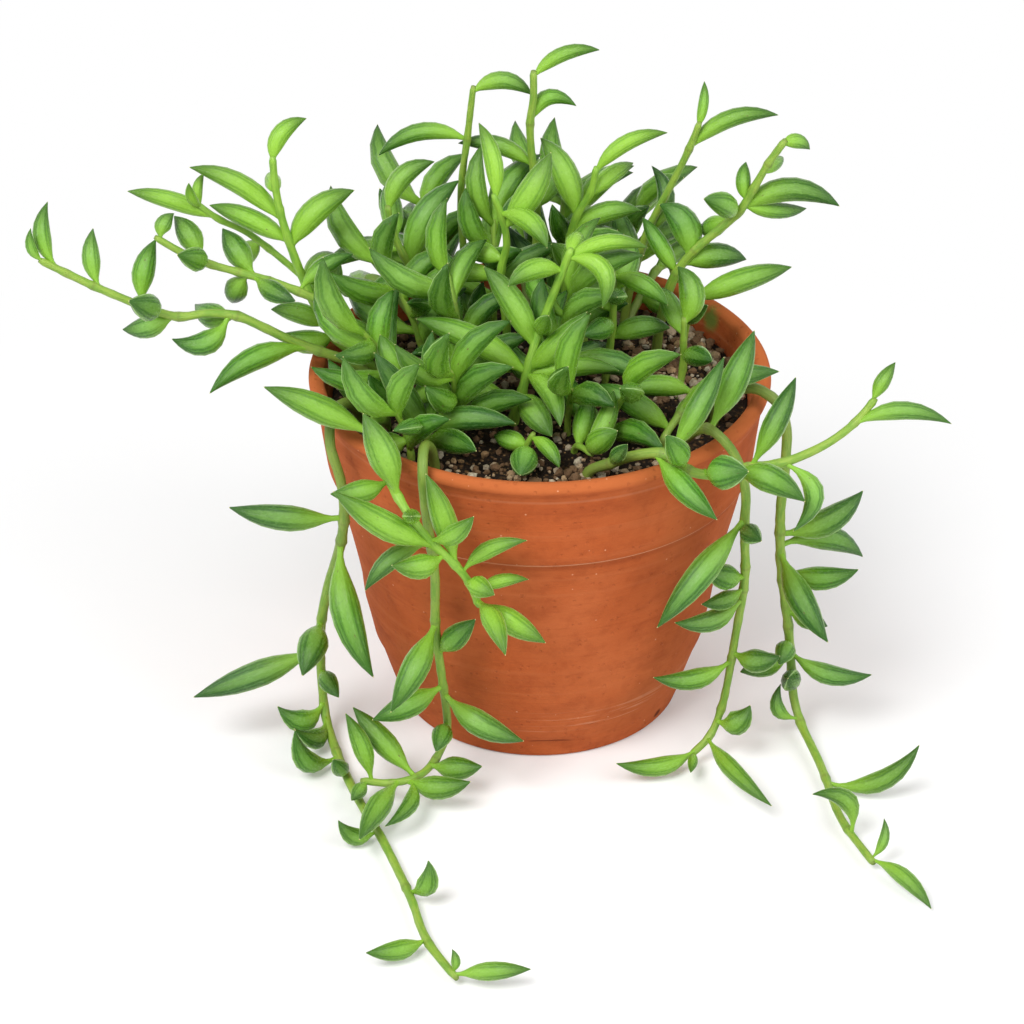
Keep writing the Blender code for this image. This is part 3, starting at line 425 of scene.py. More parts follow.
class Room:
    """Keeps the balls of everything that has been placed."""

    def __init__(self):
        self.places = np.zeros((0, 3))
        self.radii = np.zeros(0)
        self.owners = np.zeros(0, dtype=int)

    def add(self, places, radii, owner):
        """Keep the balls of one more stem or leaf."""
        self.places = np.concatenate([self.places, places])
        self.radii = np.concatenate([self.radii, radii])
        self.owners = np.concatenate([self.owners, np.full(len(radii), owner)])

    def clear_of_pieces(self, leaf, owner):
        """Whether a leaf keeps clear of other shoots, and of its own beyond its stalk."""
        places, radii = leaf.spheres()
        gaps = np.linalg.norm(places[:, None] - self.places[None], axis=2)
        gaps -= radii[:, None] + self.radii[None] + LEAF_CLEARANCE
        near_stalk = np.arange(len(radii)) < STALK_SAMPLES
        excused = (self.owners[None] == owner) & near_stalk[:, None]
        return bool(np.all((gaps > 0) | excused))

    def clear_of_pot(self, leaf):
        """Whether a leaf keeps clear of the pot, the soil and the ground."""
        for (x, y, z), radius in list(zip(*leaf.spheres()))[1:]:
            reach = math.hypot(x, y)
            if z < radius + GROUND_CLEARANCE:
                return False
            over_rim = z > POT_HEIGHT + radius + GAP
            outside = reach > RIM_RADIUS + radius + GAP
            if z < COLLAR_EDGE_HEIGHT:
                outside = reach > pot_wall_radius(z) + COLLAR_STEP + radius + GAP
            above_soil = z > soil_height(reach) + SOIL_CLEARANCE_SHARE * radius + GAP
            inside = above_soil and reach < pot_inner_radius(z) - INNER_WALL_CLEARANCE - radius
            if not (over_rim or outside or inside):
                return False
        return True

    def settle(self, leaf, owner):
        """Swing a leaf to or from the light until it has room, then aside, then shorten it."""
        for shrink in ROOM_SHRINKS:
            leaf.length *= shrink
            swings = [(turn, side) for turn in LIGHT_TURNS for side in LIGHT_DIRECTIONS]
            swings += [(turn, side) for turn in ROOM_TURNS for side in range(ROOM_DIRECTIONS)]
            for turn, side in swings:
                tried = leaf.turned(math.radians(turn), math.tau * side / ROOM_DIRECTIONS)
                if self.clear_of_pot(tried) and self.clear_of_pieces(tried, owner):
                    self.add(*tried.spheres(), owner)
                    return tried
        return None


def leaf_reach(across, up, out):
    """The way from a leaf's foot to its tip, from how the light sees it."""
    return across * ACROSS + up * UPWARD + out * TO_LIGHT


def tuft_points(foot, height, heading, lean):
    """The route of a short upright stem."""
    turn = math.radians(heading)
    return [(foot[0] + math.cos(turn) * lean * out, foot[1] + math.sin(turn) * lean * out,
             ROOT_TOP + height * up) for up, out in TUFT_BEND]


def trail_points(heading, drop):
    """The route of a stem that climbs over the rim and hangs outside it."""
    turn = math.radians(heading)
    over = POT_HEIGHT + TRAIL_STEM_RADIUS + TRAIL_RIM_GAP
    section = [(60, over - 4), (67, over), (73, over - 1), (77, over - 8)]
    section += [(77 - 0.12 * drop * k / 3, over - 8 - drop * k / 3) for k in (1, 2, 3)]
    return [(math.cos(turn) * r, math.sin(turn) * r, z) for r, z in section]


def grown_leaves(stem, count, first, start_turn):
    """Leaves set round a stem by the golden angle, one after another."""
    leaves = []
    for k in range(count):
        share = first + (1 - first) * k / max(1, count - 1)
        along = stem.direction(share)
        across = np.cross(along, ODD_WAY)
        across /= np.linalg.norm(across)
        third = np.cross(along, across)
        turn = math.radians(start_turn + GOLDEN_ANGLE * k)
        spread = math.radians(GROWN_LEAF_SPREAD if share < 1 else END_LEAF_SPREAD)
        way = along * math.cos(spread)
        way += (across * math.cos(turn) + third * math.sin(turn)) * math.sin(spread)
        length = GROWN_LEAF_LENGTHS[k % len(GROWN_LEAF_LENGTHS)]
        width = GROWN_LEAF_WIDTHS[k % len(GROWN_LEAF_WIDTHS)]
        leaves.append((share, way * length, width, GROWN_LEAF_ARCH))
    return leaves


def plan_plant():
    """Place every shoot: a list of (name, stem, leaves that found room)."""
    plans = []
    for name, radius, foot, points, rows in SHOOTS:
        leaves = [(share, leaf_reach(*tip), width, bow) for share, *tip, width, bow in rows]
        plans.append((name, Stem(foot, points, radius), leaves))
    for number, (name, foot, height, heading, lean, count) in enumerate(TUFTS):
        stem = Stem(foot, tuft_points(foot, height, heading, lean), TUFT_STEM_RADIUS)
        plans.append((name, stem, grown_leaves(stem, count, FIRST_TUFT_LEAF, TUFT_TURN * number)))
    for number, (name, heading, drop, count) in enumerate(BACK_TRAILS):
        turn = math.radians(heading)
        foot = (TRAIL_FOOT_REACH * math.cos(turn), TRAIL_FOOT_REACH * math.sin(turn))
        stem = Stem(foot, trail_points(heading, drop), TRAIL_STEM_RADIUS)
        plans.append((name, stem, grown_leaves(stem, count, FIRST_TRAIL_LEAF, TRAIL_TURN * number)))
    room = Room()
    for owner, (name, stem, leaves) in enumerate(plans):
        shares = stem.stations(STEM_BALL_STEP)
        places = np.array([stem.place(s) for s in shares])
        room.add(places, np.array([stem.thickness(s) for s in shares]), owner)
    plant = []
    for owner, (name, stem, leaves) in enumerate(plans):
        placed = []
        for share, reach, width, arch in leaves:
            start = min(share, 1 - STALK_SEAT / stem.length)
            settled = room.settle(Leaf(stem.place(start), reach, width, arch), owner)
            if settled:
                placed.append(settled)
        plant.append((name, stem, placed))
    return plant


# ---- Looks ----

# A leaf's outline: (share of its length, share of its half width).
PLUMP_LEAF = [(0, 0.26), (0.04, 0.25), (0.09, 0.38), (0.15, 0.6), (0.23, 0.81), (0.33, 0.95), (0.44, 1),
              (0.56, 0.98), (0.68, 0.88), (0.79, 0.69), (0.88, 0.45), (0.95, 0.2), (0.985, 0.07)]
STALKED_LEAF = [(0, 0.28), (0.05, 0.22), (0.1, 0.22), (0.16, 0.34), (0.24, 0.6), (0.34, 0.86), (0.45, 1),
                (0.57, 0.97), (0.69, 0.85), (0.8, 0.62), (0.89, 0.37), (0.955, 0.16), (0.985, 0.07)]
TUFT_LEAF = [(0, 0.26), (0.1, 0.38), (0.23, 0.8), (0.42, 1), (0.62, 0.95), (0.8, 0.67), (0.93, 0.28)]
LEAF_AROUND = 12
TUFT_LEAF_AROUND = 8
# How far a leaf's middle stands out of its plane, as a share of its length, and how much that varies.
LEAF_ARCHING = 0.05
LEAF_SWAY = 0.035
SWAY_RATE = 9.1
# A leaf's width as a share of the plan's, and how far the line along its sides stands out.
LEAF_FULLNESS = 0.88
MARGIN_RIDGE = 1.05

# Stems: rings a step apart, a narrower end, and a swelling at each joint that a leaf grows from.
STEM_AROUND = 8
STEM_RING_STEP = 1.6
STEM_TIP = 0.55
STEM_UNEVENNESS = 0.1
STEM_WAVE = 0.35
STEM_SEED_STEP = 3.7
FIRST_SIDE = (0.3, 1, 0.2)
NODE_SWELLING = 0.22
NODE_REACH = 1.3

# Shades of the shoots. A name tells which are young, and which hang or reach out.
YOUNG_WORD = "light"
TRAIL_WORD = "trail"
REACHING_WORD = "reaching"
YOUNG_STEM = 0.8
OLD_STEM = 0.1
YOUNG_LEAF = 0.42
TIP_YOUTH = 0.35
YOUTH_SPREAD = (-0.06, 0.12)
TONE_SPREAD = (0, 1.15)
TRAIL_SHADE = 0.6
BLOOM = 0.34
LEAF_SEED = 11

# Pot and soil. Places are millimetres from the pot's axis.
LIP_RADIUS = 2.2
INNER_EDGE_RADIUS = 1.9
FOOT_EDGE_RADIUS = 1.4
FLOOR_FILLET = 3
SECTION_STEP = 2.4
WOBBLE_ACROSS = 22
WOBBLE_UP = 60
# The pot stays true where it lies nearer to its axis, or lower, than this.
NEAR_DRAIN = 20
FOOT_FACE = 0.5
# The belt's foot and its shoulder: a height, and over how much of the wall it fades.
BELT_RISE = (21, 3)
BELT_FALL = (36, 8)
BELT_HEADING = math.radians(60)
BELT_LEAST = 0.45
DENT_HEADING = math.radians(87)
DENT_HEIGHT = 5.2
DENT_REACH = (7, 2.6)
DENT_EDGE = 6.5
DENT_FADE = 0.5
MOSS_PLACE = (54, 37, 109)
CHIP_PLACE = (36.5, -26, 4)
SOIL_AROUND = 150
SOIL_RINGS = 42
# The soil's swells, lumps and crumbs: waves in a millimetre, a seed, and how high they stand.
SOIL_WAVES = ((0.09, 3, 0.6), (0.35, 9, 0.8), (0.8, 21, 0.5))
# Where the soil is bare, and how far that reaches. Grit gathers there and along the front.
BARE_PLACE = (46, 24)
BARE_REACH = (18, 26)
FRONT_GRIT = (-56, 12)
LEAST_GRIT = 0.2
# Stones: how near the wall they lie, their sizes as shares of the common one, how their three
# measures and their corners vary, how far they tip in radians, and how high their middles lie.
GRIT_EDGE = 1.5
GRIT_SIZES = (0.3, 0.4, 0.5, 0.65, 0.8, 1, 1.3)
GRIT_MEASURES = ((0.75, 1.25), (0.7, 1.1), (0.55, 0.95))
GRIT_CORNERS = (0.8, 1.2)
GRIT_TIP = 0.6
GRIT_RISE = 0.22
GRIT_SEED = 7
# How much larger the stones are where the soil is bare.
LUMP_GROWTH = 0.25

# Stage. The floor lies just under the pot; its shadow fades out over this distance in metres.
FLOOR_DROP = -0.1
SHADOW_REACH = (0.07, 0.34)
VIEW_TARGET = (-8.4, 0, 61.3)
LAMP_AIM = 80
LAMPS = (
    ("key_lamp", (-0.9, -1.1, 1.9), 1.3, 1.0),
    ("fill_lamp", (1.3, -0.8, 1.1), 1.4, 0.35),
)


def colour_setting(name, description, default):
    """A colour that a user may change."""
    return bpy.props.FloatVectorProperty(
        name=name, description=description, subtype="COLOR", default=default, min=0, max=1)


def number_setting(name, description, default, least, most, subtype="DISTANCE"):
    """A length, an angle or a share that a user may change."""
    return bpy.props.FloatProperty(
        name=name, description=description, subtype=subtype, default=default, min=least, max=most)


def count_setting(name, description, default, least, most):
    """A count that a user may change."""
    return bpy.props.IntProperty(name=name, description=description, default=default, min=least, max=most)


class PlantSettings(bpy.types.PropertyGroup):
    """Colours and finish of the leaves and stems."""
    old_green: colour_setting("Old green", "The dark green of an old leaf", (0.009, 0.060, 0.004))
    leaf_green: colour_setting("Leaf green", "The green of a grown leaf", (0.084, 0.270, 0.014))
    young_green: colour_setting("Young green", "The yellowish green of new growth", (0.280, 0.530, 0.045))
    window_green: colour_setting("Window green", "The pale clear band along a leaf", (0.270, 0.500, 0.105))
    bloom_green: colour_setting("Bloom", "The bluish bloom on the sides of a leaf", (0.150, 0.320, 0.095))
    margin_colour: colour_setting("Margin", "The thin pale line along a leaf's sides", (0.420, 0.640, 0.230))
    tip_colour: colour_setting("Tip", "The small dry point at the end of a leaf", (0.800, 0.760, 0.330))
    scar_colour: colour_setting("Scar", "Brown scars and specks", (0.100, 0.050, 0.022))
    stem_green: colour_setting("Stem green", "The green of the stems", (0.260, 0.390, 0.045))
    old_stem: colour_setting("Old stem", "The olive brown of a stem's oldest stretch", (0.120, 0.135, 0.028))
    leaf_roughness: number_setting("Leaf roughness", "How matt the leaves are", 0.23, 0, 1, "FACTOR")


class PotSettings(bpy.types.PropertyGroup):
    """Size and colours of the clay pot."""
    sides: count_setting("Sides", "Faces round the pot", 192, 24, 400)
    wobble: number_setting("Wobble", "How far the turned wall strays from a true circle", 0.00025, 0, 0.002)
    belt: number_setting("Belt", "How far the soft belt above the foot stands out", 0.0011, 0, 0.003)
    dent: number_setting("Dent", "Depth of the pressed dent at the foot", 0.0014, 0, 0.003)
    clay: colour_setting("Clay", "The colour of the fired clay", (0.420, 0.092, 0.024))
    pale_clay: colour_setting("Pale clay", "Worn and dusty clay", (0.500, 0.140, 0.048))
    # Near-black painted shade in a chip low on the foot and in the crease along the pressed dent's edge.
    chip_and_crease_shade: colour_setting("Deep clay", "Chips and creases", (0.090, 0.018, 0.007))
    # Dark clay for damp and fired-dark patches and pits, and also for the painted shade below the lip, under
    # the collar and along the foot's bottom edge.
    dark_and_shade_clay: colour_setting("Dark clay", "Damp and fired-dark clay", (0.250, 0.044, 0.012))
    # The lip's colour is a painted highlight: the rounded top of the lip painted brighter, where it faces the
    # light from above.
    lit_lip_clay: colour_setting("Lip clay", "The brighter clay of the lip", (0.460, 0.128, 0.037))
    # Pale clay for the scuffs and chalk specks, and for the painted highlight lines along the lip's foot and
    # the collar's lower edge.
    pale_marks_and_highlight_clay: colour_setting("Line clay", "The pale worn edge lines", (0.660, 0.330, 0.190))
    moss: colour_setting("Moss", "The green smudge inside the rim", (0.110, 0.230, 0.040))


class SoilSettings(bpy.types.PropertyGroup):
    """The soil and what lies on it."""
    roughness: number_setting("Unevenness", "How far the soil's surface rises and falls", 0.0011, 0, 0.004)
    grit_count: count_setting("Grit", "How many pieces of grit lie on the soil", 1500, 0, 3000)
    grit_size: number_setting("Grit size", "The common size of a piece of grit", 0.0027, 0.0005, 0.006)
    earth: colour_setting("Earth", "The dark potting mix", (0.013, 0.008, 0.005))
    bark: colour_setting("Bark", "The brown fibres in the mix", (0.125, 0.066, 0.027))
    tan_grit: colour_setting("Tan grit", "The tan grit", (0.320, 0.195, 0.085))
    pale_grit: colour_setting("Pale grit", "The greyish white grit", (0.460, 0.405, 0.300))


class StageSettings(bpy.types.PropertyGroup):
    """The floor, the lamps and the camera."""
    floor_size: number_setting("Floor size", "Width of the floor", 8, 1, 40)
    floor_colour: colour_setting("Floor", "The pale floor", (0.9, 0.9, 0.9))
    floor_white: number_setting(
        "Floor white", "How far the floor is seen as plain white", 0.15, 0, 1, "FACTOR")
    camera_distance: number_setting("Camera distance", "From the camera to what it looks at", 1.2, 0.3, 5)
    camera_rise: number_setting(
        "Camera rise", "How far the camera looks down", math.radians(31.8), 0, math.radians(89), "ANGLE")
    camera_view: number_setting(
        "Camera view", "The camera's angle of view", math.radians(15), math.radians(5), math.radians(90),
        "ANGLE")
    key_power: number_setting("Key lamp", "Power of the large soft lamp, in watts", 50, 0, 500, "POWER")
    sky_level: number_setting("Sky level", "Strength of the even light from all round", 0.43, 0, 5, "NONE")


# Shaping

def deselect():
    """Leave edit mode with nothing selected."""
    if bpy.context.object and bpy.context.object.mode != "OBJECT":
        bpy.ops.object.mode_set(mode="OBJECT")
    bpy.ops.object.select_all(action="DESELECT")


def activate(thing):
    """Select one object and make it the active one."""
    deselect()
    thing.select_set(True)
    bpy.context.view_layer.objects.active = thing


def remove(thing):
    """Delete an object and its mesh."""
    mesh = thing.data
    bpy.data.objects.remove(thing, do_unlink=True)
    bpy.data.meshes.remove(mesh)


def places_of(thing):
    """The mesh's points, as an array."""
    places = np.empty(len(thing.data.vertices) * 3, np.float32)
    thing.data.vertices.foreach_get("co", places)
    return places.reshape(-1, 3).astype(float)


def set_places(thing, places):
    """Move the mesh's points."""
    thing.data.vertices.foreach_set("co", np.asarray(places, np.float32).ravel())
    thing.data.update()


def set_vectors(thing, name, values):
    """Store a vector at each point of the mesh."""
    layer = thing.data.attributes.new(name, "FLOAT_VECTOR", "POINT")
    layer.data.foreach_set("vector", np.asarray(values, np.float32).ravel())


def set_tone(thing, name, *values):
    """Store the same three numbers at every point of the mesh."""
    set_vectors(thing, name, np.tile(values, (len(thing.data.vertices), 1)))


def paint(thing, material):
    """Give a piece its material."""
    thing.data.materials.append(bpy.data.materials[material])


def copied(prototype, name):
    """A copy of an object with its own mesh."""
    thing = prototype.copy()
    thing.data = prototype.data.copy()
    thing.name = name
    bpy.context.scene.collection.objects.link(thing)
    return thing


def joined(things, name):
    """Join objects into the first of them."""
    deselect()
    for thing in things:
        thing.select_set(True)
    bpy.context.view_layer.objects.active = things[0]
    if len(things) > 1:
        bpy.ops.object.join()
    things[0].name = name
    things[0].data.name = name
    return things[0]


def select_points(thing, chosen):
    """Select some of the mesh's points and nothing else, then open it in edit mode."""
    for part in (*thing.data.polygons, *thing.data.edges):
        part.select = False
    thing.data.vertices.foreach_set("select", np.asarray(chosen, bool))
    bpy.ops.object.mode_set(mode="EDIT")


def rod(name, around, cuts):
    """A closed rod of radius 1 from x = 0 to x = 1, cut into even rings."""
    deselect()
    bpy.ops.mesh.primitive_cylinder_add(vertices=around, radius=1, depth=1, end_fill_type="TRIFAN",
                                        location=(0.5, 0, 0), rotation=(0, math.radians(90), 0))
    thing = bpy.context.object
    thing.name = name
    bpy.ops.object.transform_apply(location=True, rotation=True, scale=True)
    bpy.ops.object.mode_set(mode="EDIT")
    bpy.ops.mesh.select_mode(type="EDGE")
    bpy.ops.mesh.select_all(action="DESELECT")
    bpy.ops.object.mode_set(mode="OBJECT")
    for edge in thing.data.edges:
        start, end = (thing.data.vertices[k].co.x for k in edge.vertices)
        edge.select = abs(start - end) > 0.5
    bpy.ops.object.mode_set(mode="EDIT")
    bpy.ops.mesh.subdivide(number_cuts=cuts)
    bpy.ops.mesh.select_all(action="DESELECT")
    bpy.ops.mesh.select_mode(type="VERT")
    bpy.ops.object.mode_set(mode="OBJECT")
    return thing


def make_leaf_prototype(name, outline, around):
    """A straight leaf of length 1 and half width 1, with a ridge along each side."""
    leaf = rod(name, around, len(outline) - 2)
    steps = len(outline) - 1
    straight = places_of(leaf)
    ring = np.round(straight[:, 0] * steps).astype(int)
    for k, (share, width) in enumerate(outline):
        select_points(leaf, ring == k)
        bpy.ops.transform.resize(value=(1, width, width), center_override=(k / steps, 0, 0))
        bpy.ops.transform.translate(value=(share - k / steps, 0, 0))
        bpy.ops.object.mode_set(mode="OBJECT")
    # The middle of the last ring is drawn out into the tip.
    select_points(leaf, (ring == steps) & (np.hypot(straight[:, 1], straight[:, 2]) < 0.5))
    bpy.ops.transform.translate(value=(1 - outline[-1][0], 0, 0))
    bpy.ops.object.mode_set(mode="OBJECT")
    places = places_of(leaf)
    radius = np.hypot(places[:, 1], places[:, 2])
    turn = np.where(radius[:, None] > 1e-4, places[:, 1:] / np.maximum(radius, 1e-4)[:, None], 0)
    set_vectors(leaf, "leaf_place", np.column_stack([turn, places[:, 0]]))
    at_side = np.abs(turn[:, 0]) > 0.99
    places[at_side, 1] *= MARGIN_RIDGE
    set_places(leaf, places)
    bpy.ops.object.shade_smooth()
    return leaf


def grow_leaf(prototype, leaf, tone, youth, seed):
    """A copy of the straight leaf, bent along the plan's spine."""
    thing = copied(prototype, "leaf")
    places = places_of(thing)
    t = places[:, :1]
    left, face = leaf.left(), leaf.face()
    bend = 4 * t * (1 - t)
    spine = leaf.base + (leaf.chord * t + left * leaf.arch * bend) * leaf.length
    sway = math.sin(seed * SWAY_RATE) * LEAF_SWAY
    spine = spine + face * (LEAF_ARCHING + sway) * leaf.length * bend
    along = leaf.chord + left * 4 * leaf.arch * (1 - 2 * t)
    along = along / np.linalg.norm(along, axis=1)[:, None]
    across = np.cross(face, along)
    half = leaf.width / 2 * LEAF_FULLNESS
    spine = spine + (across * places[:, 1:2] + face * places[:, 2:3] * LEAF_DEPTH_RATIO) * half
    set_places(thing, (spine + (*POT_AXIS, 0)) * MM)
    set_tone(thing, "leaf_tone", tone, youth, seed)
    return thing


def steady_frames(route):
    """Two directions square to a route at each point, which turn with it and never twist."""
    along = np.gradient(route, axis=0)
    along /= np.linalg.norm(along, axis=1)[:, None]
    side = np.cross(along[0], FIRST_SIDE)
    sides = []
    for way in along:
        side = side - way * np.dot(side, way)
        side = side / np.linalg.norm(side)
        sides.append(side)
    sides = np.array(sides)
    return sides, np.cross(along, sides)


def grow_stem(name, stem, joints, youth, seed):
    """A stem: a rod bent along the plan's route, thicker at each joint with a leaf."""
    smooth = smooth_route(stem.route)
    reach = distances_along(smooth)
    count = max(6, round(reach[-1] / STEM_RING_STEP))
    thing = rod(name, STEM_AROUND, count - 1)
    places = places_of(thing)
    ring = np.clip(np.round(places[:, 0] * count).astype(int), 0, count)
    even = np.linspace(0, reach[-1], count + 1)
    route = np.array([np.interp(even, reach, smooth[:, k]) for k in range(3)]).T
    sides, others = steady_frames(route)
    shares = even / reach[-1]
    swelling = np.zeros(count + 1)
    for joint in joints:
        swelling = np.maximum(swelling, np.exp(-((even - joint * reach[-1]) / NODE_REACH) ** 2))
    uneven = np.array([noise.noise(Vector((s * STEM_WAVE, seed, 0))) for s in even])
    radius = stem.thickness(shares) * (1 + NODE_SWELLING * swelling + STEM_UNEVENNESS * uneven)
    radius[-1] *= STEM_TIP
    spread = sides[ring] * places[:, 1:2] + others[ring] * places[:, 2:3]
    set_vectors(thing, "stem_place", np.column_stack([places[:, 1:], even[ring]]))
    tone = np.column_stack([shares, np.full(count + 1, youth), swelling])
    set_vectors(thing, "stem_tone", tone[ring])
    set_places(thing, (route[ring] + spread * radius[ring][:, None] + (*POT_AXIS, 0)) * MM)
    activate(thing)
    bpy.ops.object.shade_smooth()
    return thing


def turned(name, outline, sides):
    """A turned skin, drawn up from a circle ring by ring through (radius, height) points."""
    deselect()
    radius, height = outline[0]
    bpy.ops.mesh.primitive_circle_add(vertices=sides, radius=radius * MM, location=(0, 0, height * MM))
    thing = bpy.context.object
    thing.name = name
    bpy.ops.object.transform_apply(location=True)
    bpy.ops.object.mode_set(mode="EDIT")
    bpy.ops.mesh.select_all(action="SELECT")
    for next_radius, next_height in outline[1:]:
        rise = (next_height - height) * MM
        bpy.ops.mesh.extrude_region_move(TRANSFORM_OT_translate={"value": (0, 0, rise)})
        scale = next_radius / radius
        bpy.ops.transform.resize(value=(scale, scale, 1), center_override=(0, 0, next_height * MM))
        radius, height = next_radius, next_height
    bpy.ops.mesh.select_all(action="SELECT")
    bpy.ops.mesh.remove_doubles(threshold=1e-6)
    bpy.ops.mesh.normals_make_consistent(inside=False)
    bpy.ops.object.mode_set(mode="OBJECT")
    bpy.ops.object.shade_smooth()
    return thing


def between(points, step):
    """Points added along an outline, so that no two lie further apart than a step."""
    out = [points[0]]
    for (r0, z0), (r1, z1) in zip(points, points[1:]):
        count = max(1, math.ceil(math.hypot(r1 - r0, z1 - z0) / step))
        out += [(r0 + (r1 - r0) * k / count, z0 + (z1 - z0) * k / count) for k in range(1, count + 1)]
    return out


def arc(centre, radius, start, end, steps):
    """Points of an arc in the (radius, height) plane, angles in degrees."""
    turns = [math.radians(start + (end - start) * k / steps) for k in range(steps + 1)]
    return [(centre[0] + radius * math.cos(a), centre[1] + radius * math.sin(a)) for a in turns]


def to_pot(thing):
    """Move a shape made round the origin to the pot's axis, in its mesh."""
    places = places_of(thing)
    places[:, 0] += POT_AXIS[0] * MM
    places[:, 1] += POT_AXIS[1] * MM
    set_places(thing, places)


def show(thing, slot, *nodes):
    """Hand a finished piece to the frame."""
    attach(thing, "root")
    if nodes:
        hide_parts(*nodes)


# The pot's section and the soil's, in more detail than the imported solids

def pot_outline():
    """The pot's section, from the drain hole's edge round the outside to the hole again."""
    edge = pot_wall_radius(COLLAR_EDGE_HEIGHT)
    collar_edge = edge + COLLAR_STEP
    top = POT_HEIGHT - LIP_HEIGHT
    lip_centre = (RIM_RADIUS - 0.2 - LIP_RADIUS, POT_HEIGHT - LIP_RADIUS)
    inner_centre = (RIM_RADIUS - WALL + INNER_EDGE_RADIUS, POT_HEIGHT - LIP_RADIUS)
    foot_centre = (FOOT_RADIUS - FOOT_EDGE_RADIUS, FOOT_EDGE_RADIUS)
    fillet_height = FLOOR_THICKNESS + FLOOR_FILLET
    fillet_centre = (pot_inner_radius(FLOOR_THICKNESS) - FLOOR_FILLET, fillet_height)
    foot = [(DRAIN_RADIUS, 0), (foot_centre[0], 0)] + arc(foot_centre, FOOT_EDGE_RADIUS, -70, 0, 3)
    wall = [(pot_wall_radius(h), h) for h in range(4, COLLAR_EDGE_HEIGHT, 2)]
    wall += [(edge, COLLAR_EDGE_HEIGHT - 0.9), (edge + 0.3, COLLAR_EDGE_HEIGHT - 0.5)]
    collar = [(collar_edge - 0.25, COLLAR_EDGE_HEIGHT - 0.4), (collar_edge, COLLAR_EDGE_HEIGHT + 0.3),
              (collar_edge + 0.3, COLLAR_EDGE_HEIGHT + 2), (RIM_RADIUS - 2.4, top - 1)]
    groove = [(RIM_RADIUS - 2.1, top + 1.2), (RIM_RADIUS - 1.5, top + 2.6)]
    lip = arc(lip_centre, LIP_RADIUS, -30, 90, 9) + arc(inner_centre, INNER_EDGE_RADIUS, 100, 175, 6)
    inner = [(pot_inner_radius(h), h) for h in (POT_HEIGHT - 8, fillet_height)]
    floor = arc(fillet_centre, FLOOR_FILLET, 0, -90, 4) + [(DRAIN_RADIUS, FLOOR_THICKNESS), (DRAIN_RADIUS, 0)]
    return between(foot + wall + collar + groove + lip + inner + floor, SECTION_STEP)


def ramp(value, start, length):
    """A straight ramp from 0 at a start to 1 a length further on."""
    return min(1, max(0, (value - start) / length))


def hand_turned(places, settings):
    """Give a true turned wall a potter's small faults: a wobble, a soft belt and a pressed dent."""
    out = places.copy()
    for k, (x, y, z) in enumerate(places):
        reach = math.hypot(x, y)
        height = z / MM
        hollow = height > FLOOR_THICKNESS and reach < (pot_inner_radius(height) + 1) * MM
        if hollow or reach < NEAR_DRAIN * MM or height <= FOOT_FACE:
            continue
        turn = math.atan2(y, x)
        wave = Vector((x * WOBBLE_ACROSS, y * WOBBLE_ACROSS, z * WOBBLE_UP))
        shift = noise.noise(wave) * settings.wobble
        belt = ramp(height, *BELT_RISE) * (1 - ramp(height, *BELT_FALL))
        lean = 0.5 - 0.5 * math.cos(turn + BELT_HEADING)
        shift += settings.belt * belt * (BELT_LEAST + (1 - BELT_LEAST) * lean)
        along = math.remainder(turn + DENT_HEADING, math.tau) * FOOT_RADIUS
        press = math.exp(-(along / DENT_REACH[0]) ** 4)
        press *= math.exp(-((height - DENT_HEIGHT) / DENT_REACH[1]) ** 2)
        shift -= settings.dent * press * (1 if height < DENT_EDGE else DENT_FADE)
        out[k, :2] *= (reach + shift) / reach
    return out


def soil_outline():
    """The soil's section: its surface from the middle to the wall, then its side and underside."""
    edge = pot_inner_radius(SOIL_EDGE_HEIGHT) - GAP
    lowest = FLOOR_THICKNESS + GAP
    base = pot_inner_radius(lowest) - GAP
    reaches = [edge * k / SOIL_RINGS for k in range(SOIL_RINGS, 0, -1)]
    side = [(0.05, lowest), (base, lowest), (edge, SOIL_EDGE_HEIGHT - 3)]
    return side + [(reach, soil_height(reach)) for reach in reaches] + [(0.05, SOIL_CROWN_HEIGHT)]


def soil_unevenness(x, y):
    """How the soil's surface rises and falls, from about -1 to 1."""
    return sum(share * noise.noise(Vector((x * rate, y * rate, seed))) for rate, seed, share in SOIL_WAVES)


def bareness(x, y):
    """How bare the soil is at a place, which is most at the back on the right."""
    return math.exp(-((x - BARE_PLACE[0]) / BARE_REACH[0]) ** 2 - ((y - BARE_PLACE[1]) / BARE_REACH[1]) ** 2)


def grit_share(x, y):
    """How much of the grit lies at a place: most round the edge and where the soil is bare."""
    place, width = FRONT_GRIT
    front = math.exp(-((y - place) / width) ** 2)
    return LEAST_GRIT + (1 - LEAST_GRIT) * max(bareness(x, y), front)


def lay_stone(prototype, draw, x, y, size, settings):
    """One angular piece of grit, half sunk in the soil."""
    stone = copied(prototype, "stone")
    places = places_of(stone)
    places *= [draw.uniform(*measure) for measure in GRIT_MEASURES]
    places *= np.array([[draw.uniform(*GRIT_CORNERS)] for point in places])
    spin = draw.uniform(0, math.tau)
    tip = draw.uniform(-GRIT_TIP, GRIT_TIP)
    turn = np.array([[math.cos(spin), -math.sin(spin), 0], [math.sin(spin), math.cos(spin), 0], [0, 0, 1]])
    lean = np.array([[1, 0, 0], [0, math.cos(tip), -math.sin(tip)], [0, math.sin(tip), math.cos(tip)]])
    places = places @ (turn @ lean).T * size * MM
    height = soil_height(math.hypot(x, y)) + soil_unevenness(x, y) * settings.roughness / MM
    set_places(stone, places + np.array([x, y, height + GRIT_RISE * size]) * MM)
    set_tone(stone, "grit_tone", draw.random(), draw.random(), draw.random())
    return stone


# Materials

